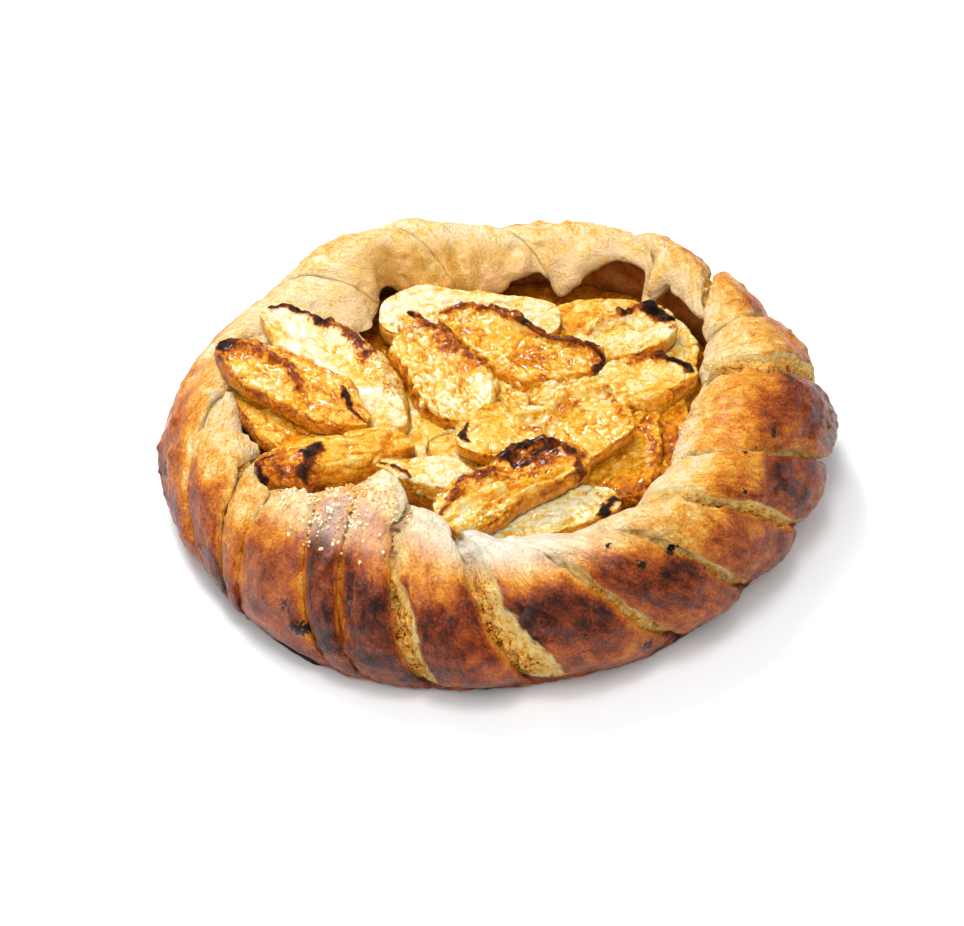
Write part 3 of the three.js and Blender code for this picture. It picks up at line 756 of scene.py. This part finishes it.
def ceiling_index(points):
    cell = np.round(points[..., :2] / CEILING_CELL).astype(int) + CEILING_CELLS // 2
    cell = np.clip(cell, 0, CEILING_CELLS - 1)
    return cell[..., 0], cell[..., 1]


def under_ceiling(points):
    """Points pressed down where a slice laid on them needs the room."""
    points[..., 2] = np.minimum(points[..., 2], ceiling[ceiling_index(points)] - GAP)
    return points


apple, tree, shader = material("baked_apple", 0.35, Subsurface_Weight=0.5, Subsurface_Scale=0.004,
                               Subsurface_Radius=(1.0, 0.5, 0.1), Coat_Roughness=0.06, Coat_IOR=1.8,
                               Specular_IOR_Level=0.3)
baked = node("ShaderNodeGroup", node_tree=baked_grain, Patch_size=3.0, Grain_size=0.8).outputs
patches, grain = baked["Patches"], baked["Grain"]
wrinkle = maths("ABSOLUTE", scaled(noise(3.4, 2.5, 0.5), 2.0, -1.0))
wrinkle = scaled(wrinkle, 4.0, 0.0, True)

# the flesh, from cream to nearly black, deeper in the wrinkles
unevenness = stirred(scaled(grain, 0.4, -0.2), patches, 0.40)
unevenness = scaled(wrinkle, -0.14, maths("ADD", unevenness, 0.09))
level = maths("ADD", unevenness, mask("tone"), clamp=True)
flesh = shades(level, [
    (0.00, (255, 240, 206)), (0.14, (255, 219, 132)), (0.28, (252, 189, 62)), (0.42, (238, 154, 22)),
    (0.58, (204, 114, 10)), (0.74, (148, 66, 10)), (0.88, (74, 30, 12)), (1.00, (32, 15, 11)),
])

# the dried crests and marks, from amber to black
toast = mask("toast")
toasting = scaled(unevenness, 1.3, toast, True)
dried = shades(toasting, [
    (0.00, (246, 200, 122)), (0.25, (228, 150, 56)), (0.42, (194, 100, 20)), (0.62, (128, 56, 10)),
    (0.84, (54, 24, 8)), (1.00, (16, 11, 8)),
])
colour = blend(scaled(toasting, 4.0, -1.0, True), flesh, dried)
feed(shader.inputs["Base Color"], colour)
dry = scaled(toast, 0.4, scaled(mask("wet"), -0.22, 0.22))
feed(shader.inputs["Roughness"], scaled(grain, 0.3, dry, True))

# juice lies on the flesh in patches, and not where it has dried
juice = scaled(toast, -0.9, scaled(patches, 5.0, -1.9, True), True)
juice = maths("MULTIPLY", juice, scaled(mask("wet"), 0.9, 0.08, True))
feed(shader.inputs["Coat Weight"], juice)
height = scaled(grain, 0.7, maths("MULTIPLY", wrinkle, 0.3))
bumpy(shader, scaled(patches, 1.1, height), 0.0022)

steps = -np.cos(np.pi * (np.arange(SLICE_ROWS) + 1) / (SLICE_ROWS + 1))
turns = np.arange(SLICE_SIDES) / SLICE_SIDES
around_grid, along_grid = np.meshgrid(turns, steps, indexing="ij")
heap = []
USUAL_FORM = dict(roll=0, ridge=(0, 0), dish=0.6, ends=(4, 4), crests=(), marks=())


def lay_slice(name, **own_form):
    """A slice laid under those before it; what its own form leaves out is as in the usual one."""
    form = {**USUAL_FORM, **own_form}
    number = len(heap)
    points, across, up, cap = slice_skin(form, along_grid, around_grid)
    top = smooth(up / 0.6)
    flat = np.stack([form["length"] / 2 * along_grid, HALF * across], -1)
    for stray, size, layers, offset in ((1.3, 4, 2, 0.3), (0.6, 1.6, 1, 0.8)):
        wander = [lumps(points, size, layers, number + offset + side) for side in (0, 5)]
        flat = flat + stray * np.stack(wander, -1)

    # dried crests, furrows and browned marks
    dark = np.zeros_like(across)
    for mark_along, mark_across, half_along, half_across, depth in form["marks"]:
        spread = near(flat[..., 0] / form["length"] * 2, mark_along, half_along)
        spread = spread * near(flat[..., 1] / HALF, mark_across, half_across)
        dark = np.maximum(dark, depth * spread)
    crests = np.zeros_like(across)
    for crest_height, width, depth, line in form["crests"]:
        there = crest_at(flat, form, width, line)
        crests = crests + crest_height * there
        dark = np.maximum(dark, depth * (0.62 * smooth(1.3 * there) + 0.38 * there ** 0.4))
    dark = dark * smooth((up + 0.2) / 0.4) * (1 + 0.25 * lumps(points, 3, 2, number))

    # relief in mm: wrinkled cells in patches, folds, grooves, and rough crests where it dried
    normal = grid_normals(points)
    cell_size, cell_height = form["cells"]
    cells_at = points * [0.75, 1, 0.5] + 0.8 * lumps(points, 3, 1, number)[..., None]
    cells = crinkle(cells_at, cell_size, number * 3.1)
    folds = lumps(points * [0.6, 1, 1], 8, 2, number + 0.5)
    patchy = smooth(0.6 + 0.9 * lumps(points, 11, 1, number + 6.0))
    cells = (0.6 * cells + 0.4 * crinkle(points + 5.0, 0.55 * cell_size, number * 1.7)) * patchy
    groove = smooth(1 - np.abs(lumps(points * [0.6, 1, 1], 4.5, 2, number + 8.0)) / 0.22)
    relief = (1.3 * cell_height * cells + 0.7 * folds - 0.65 * groove) * (0.25 + 0.75 * top)
    relief = relief + np.clip(crests, -2.5, 2.5) * top
    relief = relief + smooth(2 * dark) * 0.4 * lumps(points, 1.8, 2, number + 4.0)
    broad = points + normal * (0.7 * folds * cap)[..., None]
    points = points + normal * (relief * cap)[..., None]

    # the tone: amber on the flanks, in the grooves and in the cell valleys, paler on the cell and fold tops
    lying = grid_normals(placed(form, broad, along_grid))[..., 2]
    slope = smooth((0.92 - lying) / 0.6)
    # amber on flanks that face sideways: partly juice-soaked flesh, partly a painted glow of light through
    # the flesh and painted shade
    tone = 0.04 + form["tone"] + (0.28 - 0.3 * form["tone"]) * slope
    # darker in the grooves and cell valleys and paler on the tops: partly juice in the hollows, partly
    # painted shade and highlight
    tone = tone + (0.15 * groove - 0.45 * cell_height * cells - 0.10 * folds) * top
    tone = tone + 0.10 * lumps(points, 9, 2, number + 2.0) + 0.2 * smooth(1.5 * dark)

    laid = under_ceiling(placed(form, points, along_grid))
    np.minimum.at(ceiling, ceiling_index(laid), laid[..., 2])
    ends = []
    for end in (-1.0, 1.0):
        end_points = slice_skin(form, np.array([end]), np.array([0.0]))[0]
        ends.append(placed(form, end_points, end))
    piece = closed_mesh(name + "_slice", laid, *ends, {
        "tone": tone, "toast": 0.72 * dark, "wet": 0 * tone + form["wet"],
    })
    piece.data.materials.append(apple)
    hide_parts(name)
    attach(piece, "root")
    heap.append(piece)


# top of the heap first: middle, heights of the face at both ends, direction, length, thickness,
# roll, half widths to the left and right at five places, ridge, dish and how blunt the ends are.
# edges: how far the left and the right side hang below the face, and the share that is rounded off.
# tone is the face's colour from cream 0 to amber 0.5, cells the size and height of its wrinkles, and
# wet the juice that lies on it. crests are dried ridges or, below zero, furrows: height and width in
# mm, how dark (1.4 is black), and the points that they run through, along -1 to 1 and across -1 right
# to 1 left. marks are browned patches: middle along and across, their half sizes, and how dark.
lay_slice(
    "apple_glossy", at=(5, -54.5), face=(40, 43), turn=30, length=54, thick=9,
    left=(10, 13, 13, 14, 13), right=(13, 10, 7, 7, 6), ridge=(0.45, 1.5), dish=1, ends=(7, 7),
    edges=((2, 0.12), (5, 0.35)), tone=0.16, cells=(2.2, 0.5), wet=1.0,
    crests=[
        (-1.0, 2.0, 0.95, [(0.18, 0.62), (0.32, 0.58), (0.5, 0.58), (0.65, 0.56)]),
        (-1.2, 2.6, 0.50, [(-0.03, 0.34), (0.19, 0.22), (0.46, 0.08)]),
        (1.9, 2.0, 1.10, [(0.1, 0.9), (0.4, 0.95), (0.68, 0.85), (0.83, 0.41), (0.9, -0.07), (0.78, -0.75)]),
        (1.9, 2.2, 0.80, [(-1, 0.11), (-0.71, 0.38), (-0.55, 0.63), (-0.37, 0.62), (-0.09, 0.58)]),
        (1.8, 1.1, 0.22, [(-0.98, -0.32), (-0.58, 0), (-0.26, 0.06), (0.03, 0), (0.23, -0.35), (0.6, -0.4)]),
        (1.6, 1.1, 0.22, [(-0.97, -0.7), (-0.57, -0.5), (-0.2, -0.48), (0.07, -0.75), (0.4, -0.9)]),
    ],
    marks=[(0.45, 0.3, 0.45, 0.7, 0.42), (0.52, 0.42, 0.24, 0.4, 0.95), (0.9, 0, 0.22, 0.9, 0.60)])
lay_slice(
    "apple_left_charred", at=(-66, -2), face=(43, 38), turn=-34, length=61, thick=9, roll=2,
    left=(10, 10, 11, 12, 6), right=(7, 11, 11, 11, 8), ridge=(0.35, 2), dish=1.2, ends=(5, 6),
    edges=((3, 0.15), (4.5, 0.25)), tone=0.20, cells=(2.6, 0.3), wet=0.8,
    crests=[
        (1.7, 1.7, 0.80,
         [(-0.8, 0.35), (-0.62, 0.5), (-0.46, 0.49), (-0.27, 0.39), (-0.05, 0.28), (0.14, 0)]),
        (1.4, 1.5, 0.40, [(0.14, 0), (0.28, 0.16), (0.45, 0.14), (0.62, 0)]),
        (1.4, 1.3, 0.30,
         [(-0.68, 0.95), (-0.36, 0.9), (-0.1, 0.85), (0.22, 0.78), (0.46, 0.88), (0.67, 0.76)]),
        (1.2, 1.2, 1.20, [(0.55, 0.5), (0.69, 0.25), (0.84, -0.1), (1, -0.3)]),
        (0.5, 1.2, 0.45, [(-0.7, -0.9), (-0.3, -0.97), (0.2, -0.97)]),
    ],
    marks=[(-1, 0.1, 0.24, 1.6, 1.4), (-0.6, 0.4, 0.35, 0.45, 0.56), (0.75, 0, 0.25, 0.9, 0.50)])
lay_slice(
    "apple_centre_back", at=(8, 24), face=(40, 38), turn=-24, length=60, thick=10, roll=5,
    left=(7, 8.5, 5, 3.5, 6), right=(7, 13, 18, 19, 11), ridge=(0.8, 1.2), dish=1, ends=(5, 7),
    edges=((5, 0.25), (5, 0.25)), tone=0.16, cells=(2.8, 0.5), wet=0.8,
    crests=[
        (1.6, 2.0, 0.80, [(-0.95, 0.1), (-0.8, 0.7), (-0.4, 0.82), (-0.1, 0.8)]),
        (1.6, 2.2, 0.95, [(-0.1, 0.8), (0.2, 0.75), (0.4, 0.7), (0.6, 0.8), (0.85, 0.7)]),
        (1.2, 1.6, 1.20, [(0.85, 0.7), (0.95, 0.3), (0.97, -0.3), (0.93, -0.8)]),
    ],
    marks=[(0.35, -0.45, 0.7, 0.5, 0.46), (0.9, 0, 0.18, 0.8, 0.45)])
lay_slice(
    "apple_folded", at=(15, -24), face=(39, 40), turn=7, length=57, thick=8, roll=5,
    left=(11, 14, 10, 17, 13), right=(10, 14, 17, 16, 9), ridge=(0.5, 0), dish=1, ends=(7, 8),
    edges=((1.5, 0.1), (2.5, 0.12)), tone=0.14, cells=(3.4, 0.35), wet=0.85,
    crests=[
        (2.0, 1.5, 0.25, [(-0.36, 0.9), (-0.26, 0.5), (-0.06, 0.6), (0.16, 0.95), (0.46, 0.95), (0.77, 1)]),
        (1.6, 1.3, 0.55, [(0.77, 1), (0.83, 0.69), (0.92, 0)]),
        (1.5, 1.2, 0.45, [(-0.3, 0.4), (-0.26, 0), (-0.08, -0.07), (0.15, 0.36), (0.35, 0.56), (0.45, 0.66)]),
        (1.0, 0.9, 1.15, [(-0.86, 0.57), (-0.94, 0.17), (-0.86, -0.3)]),
    ],
    marks=[(-0.6, 0, 0.35, 0.9, 0.16)])
lay_slice(
    "apple_right", at=(38, 3), face=(36, 36), turn=15, length=57, thick=14, roll=8,
    left=(6, 9, 11, 9.5, 6.5), right=(8, 11, 12, 11, 6), ridge=(0.85, 0.6), dish=0.5, ends=(4, 6),
    edges=((3, 0.15), (9, 0.45)), tone=0.10, cells=(2.6, 0.22), wet=0.4,
    crests=[
        (1.0, 1.7, 0.80, [(0.3, 0.74), (0.45, 0.78), (0.6, 0.78)]),
        (1.3, 2.0, 1.40, [(0.58, 0.78), (0.75, 0.8), (0.88, 0.5), (0.94, 0)]),
    ],
    marks=[(0.75, 0.4, 0.2, 0.5, 0.22)])
lay_slice(
    "apple_centre_left", at=(-19, 12), face=(39, 35), turn=-67, length=57, thick=10, roll=2,
    left=(5, 9, 11.5, 14.5, 12), right=(6, 13, 12, 13, 11), ridge=(0.8, 1), dish=0.9, ends=(4, 6),
    edges=((4, 0.18), (6, 0.16)), tone=0.06, cells=(3.6, 0.6), wet=0.6,
    crests=[
        (1.3, 2.6, 0.75, [(-0.85, 0.6), (-0.6, 0.8), (-0.2, 0.82), (0.25, 0.85)]),
        (0.9, 1.7, 0.45, [(0.25, 0.85), (0.5, 0.9)]),
        (0.8, 2.2, 1.40, [(-0.97, 0.2), (-0.88, 0.5)]),
        (1.0, 1.6, 0.05, [(0.29, -1), (0.12, -0.73), (0.07, -0.2), (0.16, 0.14), (0.33, 0.29)]),
    ],
    marks=[(-0.66, 0.3, 0.24, 1.2, 0.56), (-0.3, 0.6, 0.4, 0.4, 0.58)])
lay_slice(
    "apple_front_left", at=(-51, -35), face=(41, 36), turn=17, length=52, thick=16, roll=16,
    left=(6, 8, 9, 10, 9), right=(11, 13, 12, 9, 6), ridge=(0.5, 0), dish=-0.5, ends=(6, 5),
    edges=((5, 0.4), (11, 0.8)), tone=0.22, cells=(5, 0.1), wet=0.45,
    crests=[
        (1.1, 2.4, 1.25, [(-0.2, 0.25), (-0.32, 0), (-0.43, -0.3), (-0.5, -0.5)]),
        (0.7, 1.3, 1.15, [(-0.8, 0.5), (-0.93, 0.16), (-0.97, -0.3), (-0.96, -0.7)]),
        (-1.0, 1.5, 0.14, [(0.67, 0.4), (0.71, -0.45), (0.67, -1)]),
        (-0.6, 1.2, 0.08, [(0.24, 0.4), (0.17, -0.1), (0.17, -0.6)]),
    ],
    marks=[(-0.74, -0.2, 0.26, 1.0, 0.56), (-0.4, -0.3, 0.26, 0.7, 0.58)])
lay_slice(
    "apple_left_pale", at=(-54, 10), face=(39, 34), turn=-49, length=74, thick=12, roll=-3,
    left=(11, 17, 23, 18, 9), right=(5, 9, 10, 11, 9), ridge=(0.52, 3), dish=-0.6, ends=(4, 6),
    edges=((7, 0.45), (2, 0.15)), tone=-0.04, cells=(4.5, 0.12), wet=0.4,
    crests=[
        (1.7, 1.4, 1.15, [(-0.92, 0.30), (-0.78, 0.62), (-0.64, 0.57), (-0.5, 0.57), (-0.41, 0.57)]),
        (1.7, 1.3, 0.80, [(-0.41, 0.57), (-0.27, 0.6), (-0.15, 0.58), (0.03, 0.5), (0.18, 0.46)]),
        (0.9, 1.5, 0.30, [(0.18, 0.46), (0.44, 0.46), (0.62, 0.43)]),
    ],
    marks=[(-0.9, 0.3, 0.1, 0.5, 0.3), (0.5, 0.55, 0.6, 0.6, 0.38)])
lay_slice(
    "apple_right_charred", at=(41, 32), face=(35, 36), turn=18, length=39, thick=10, roll=8,
    left=(4.5, 7, 7.5, 7.5, 7), right=(7, 12, 13, 12, 8), ridge=(0.8, 0.8), ends=(4, 8),
    edges=((4, 0.25), (5, 0.2)), tone=0.01, cells=(3, 0.3), wet=0.6,
    crests=[
        (1.4, 1.7, 0.45, [(-0.6, 0.2), (-0.24, 0.72), (0.06, 0.8)]),
        (1.7, 2.0, 0.90, [(0.06, 0.8), (0.46, 0.82), (0.67, 0.75)]),
        (1.5, 2.8, 1.40, [(0.55, 0.75), (0.74, 0.55), (0.85, 0)]),
        (0.8, 1.5, 0.50, [(0.85, 0), (0.86, -0.7)]),
    ],
    marks=[(0.3, -0.1, 0.3, 0.25, 0.15)])
lay_slice(
    "apple_front_small", at=(-22, -43), face=(38, 36), turn=-12, length=33, thick=14, roll=5,
    left=(4, 5, 7, 8, 6), right=(4, 6, 7, 8, 6), dish=0.5, ends=(4, 5),
    edges=((1.5, 0.12), (9, 0.45)), tone=0.00, cells=(3, 0.25), wet=0.5,
    crests=[(1.5, 1.1, 0.85, [(-0.95, 0.3), (-0.79, 0.08), (-0.59, -0.3), (-0.3, -0.6)])])
lay_slice(
    "apple_back", at=(-9, 43), face=(33, 33), turn=-2, length=61, thick=11, roll=6,
    left=(15, 16, 13, 11, 10), right=(13, 14, 13, 12, 10), dish=0.5, ends=(5, 10),
    edges=((2, 0.12), (5, 0.15)), tone=0.02, cells=(4, 0.15), wet=0.5,
    crests=[
        (1.0, 1.5, 0.10, [(-0.44, 0.8), (-0.35, 0.5), (-0.09, 0.62), (0.15, 0.7), (0.41, 0.64)]),
        (0.5, 1.3, 0.30, [(0, 0.97), (0.3, 0.97), (0.7, 0.97)]),
    ],
    marks=[(-0.97, -0.1, 0.12, 0.9, 0.42), (0.55, 0.5, 0.12, 0.3, 0.25)])
lay_slice(
    "apple_sliver", at=(3, 4), face=(35, 33), turn=-50, length=38, thick=8,
    left=(5, 7, 8, 7, 5), right=(4, 7, 7, 7, 5), ends=(4, 5),
    edges=((2, 0.15), (2, 0.15)), tone=0.16, cells=(2.6, 0.35), wet=0.5,
    crests=[(1.0, 1.1, 0.55, [(-0.3, 0.75), (0.2, 0.8), (0.6, 0.6)])])
lay_slice(
    "apple_front", at=(14, -63), face=(34, 35), turn=22, length=52, thick=10, roll=6,
    left=(6, 10, 12, 12, 8), right=(5, 7, 7, 6, 5), ends=(4, 7),
    edges=((1.5, 0.12), (4, 0.2)), tone=0.02, cells=(3, 0.3), wet=0.7,
    crests=[
        (0.9, 2.1, 1.30, [(0.68, -0.8), (0.83, -0.16), (0.93, 0.2)]),
        (0.7, 1.1, 0.45, [(0.3, 0.8), (0.56, 0.7), (0.79, 0.45)]),
    ],
    marks=[(0.8, 0, 0.2, 0.8, 0.25)])
lay_slice(
    "apple_left_low", at=(-70, -13), face=(34, 33), turn=-44, length=42, thick=9, roll=-3,
    left=(5, 8, 9, 9, 7), right=(4, 8, 10, 10, 7),
    edges=((3, 0.2), (4, 0.2)), tone=0.24, cells=(3.5, 0.2), wet=0.4)
lay_slice(
    "apple_right_low", at=(38, -27), face=(32, 32), turn=60, length=50, thick=10, roll=2,
    left=(8, 8, 8, 7, 5), right=(14, 17, 15, 11, 6), dish=0.8, ends=(5, 5),
    edges=((3, 0.2), (4, 0.2)), tone=0.32, cells=(3, 0.25), wet=0.8,
    crests=[(0.7, 1.3, 0.50, [(0.56, 0.27), (0.61, -0.41), (0.38, -0.75), (0.02, -0.88)])],
    marks=[(-0.5, -0.6, 0.15, 0.3, 0.50), (-0.7, 0.4, 0.15, 0.3, 0.50)])
lay_slice(
    "apple_middle_front", at=(-8, -33), face=(32, 33), turn=-50, length=36, thick=9,
    left=(8, 9, 10, 9, 7), right=(8, 10, 10, 9, 7), ends=(5, 5),
    edges=((3, 0.15), (4, 0.15)), tone=0.12, cells=(3.5, 0.3), wet=0.3)
lay_slice(
    "apple_middle", at=(-21, -15), face=(31, 32), turn=-74, length=46, thick=10,
    left=(8, 10, 11, 10, 8), right=(7, 10, 11, 10, 7), ends=(5, 5),
    edges=((3, 0.15), (4, 0.15)), tone=0.10, cells=(4, 0.2), wet=0.3)
lay_slice(
    "apple_back_right", at=(31, 47), face=(30, 29), turn=20, length=42, thick=9, roll=4,
    left=(6, 9, 9, 7, 5), right=(8, 9, 9, 8, 6), dish=0.5,
    edges=((2, 0.12), (3, 0.2)), tone=0.18, cells=(4, 0.15), wet=0.3)
lay_slice(
    "apple_right_edge", at=(59, 35), face=(29, 29), turn=-72, length=32, thick=9,
    left=(5, 7, 8, 7, 5), right=(5, 8, 9, 9, 6), dish=0.5,
    edges=((2.5, 0.15), (3, 0.2)), tone=0.14, cells=(4, 0.15), wet=0.3)
lay_slice(
    "apple_right_wall", at=(55, -14), face=(29, 29), turn=-97, length=46, thick=9,
    left=(5, 7, 8, 7, 5), right=(6, 8, 8, 7, 6), dish=0.5,
    edges=((3, 0.2), (3, 0.2)), tone=0.40, cells=(3, 0.2), wet=0.5)

# The bed. Soft apple pieces cooked down in their own juice, which fill the case under the slices and
# show between them as dark glossy amber.
BED_RINGS = 60
BED_SIDES = 240
BED_HEIGHT = 25.0
BED_FALL = 3.0  # mm that it lies lower at the wall
BED_BASE = FLOOR_HEIGHT + 1.5
BED_CLEAR = 1.5  # mm to the wall of the case
bed_angle = np.arange(BED_SIDES) * 360.0 / BED_SIDES
wall = along_section(rim_section(bed_angle)[0], np.full(BED_SIDES, WALL + 0.3)) - BED_CLEAR


def bed_rings(shares, height):
    """Rings of points at shares of the way from the middle to the wall."""
    radius = wall[:, None] * shares
    turn = np.radians(bed_angle)[:, None]
    return np.stack([radius * np.cos(turn), radius * np.sin(turn), height + 0 * radius], -1)


inwards = (np.arange(BED_RINGS)[::-1] + 1.0) / BED_RINGS
surface = bed_rings(inwards, 0)
lumpy = 1.2 * lumps(surface, 9, 3) + 0.4 * crinkle(surface, 4, 2.0)
surface[..., 2] = BED_HEIGHT - BED_FALL * inwards ** 2 + lumpy
surface = under_ceiling(surface)[:, :-1]
sides = [bed_rings(np.array([0.9]), BED_BASE), bed_rings(np.array([0.97]), 14.0)]
bed_grid = np.concatenate([*sides, surface], 1)
side_tone, top_tone = np.full((BED_SIDES, 2), 0.6), 0.55 + 0.1 * lumps(surface, 6, 2)
bed = closed_mesh("apple_juice_bed", bed_grid, [[0, 0, BED_BASE]], [[0, 0, BED_HEIGHT]], {
    "tone": np.concatenate([side_tone, top_tone], 1),
    "toast": np.zeros(bed_grid.shape[:2]), "wet": np.ones(bed_grid.shape[:2]),
})
bed.data.materials.append(apple)
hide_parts("apple_bed")
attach(bed, "root")

# The stage: a plain pale table top in a bright room, with a key lamp high at the back left, a small
# lamp overhead, a weak one at the left front, and a large warm one in front that doesn't show in
# reflections. The camera looks down at 40 degrees from straight in front.
floor_mesh = bpy.data.meshes.new("table_top")
floor_mesh.from_pydata([(-3, -3, 0), (3, -3, 0), (3, 3, 0), (-3, 3, 0)], [], [(0, 1, 2, 3)])
table_top = new_object("table_top", floor_mesh)
pale, tree, shader = material("pale_table", 0.6, Base_Color=(0.84, 0.88, 0.95, 1))
floor_mesh.materials.append(pale)


def aimed(name, data, spot, target):
    """A lamp or the camera at a spot in metres, looking at a target."""
    made = new_object(name, data)
    made.location = spot
    made.rotation_mode = "QUATERNION"
    made.rotation_quaternion = (Vector(target) - made.location).to_track_quat("-Z", "Y")
    return made


# name, watts, width in metres, place, colour, and whether it shows in reflections
for name, energy, size, spot, colour, glints in (
    ("key_lamp", 11.2, 0.42, (-0.38, 0.62, 0.84), (1.0, 0.98, 0.95), True),
    ("top_lamp", 4.8, 0.36, (-0.10, -0.15, 1.15), (1.0, 0.98, 0.95), True),
    ("left_lamp", 2.0, 0.4, (-0.62, -0.55, 0.85), (1.0, 0.97, 0.93), True),
    ("front_lamp", 13.0, 1.6, (0.22, -0.95, 1.12), (1.0, 0.94, 0.84), False),
):
    lamp = bpy.data.lights.new(name, "AREA")
    lamp.energy = energy
    lamp.size = size
    lamp.color = colour
    aimed(name, lamp, spot, (0, 0, 0)).visible_glossy = glints

world = bpy.data.worlds.new("bright_room")
world.use_nodes = True
background = world.node_tree.nodes["Background"]
background.inputs["Color"].default_value = (1, 0.98, 0.94, 1)
background.inputs["Strength"].default_value = 0.42
bpy.context.scene.world = world
world.cycles_visibility.glossy = False
bpy.context.scene.view_settings.view_transform = "Standard"

PHOTO_WIDTH = 964.0  # pixels
FOCAL_LENGTH = 2901.0  # pixels
camera = bpy.data.cameras.new("camera")
camera.sensor_width = 36.0
camera.lens = FOCAL_LENGTH / PHOTO_WIDTH * camera.sensor_width
camera_place, aim = (-0.006162, -0.732768, 0.622872), (-0.006162, -0.005025, 0.012223)
bpy.context.scene.camera = aimed("camera", camera, camera_place, aim)
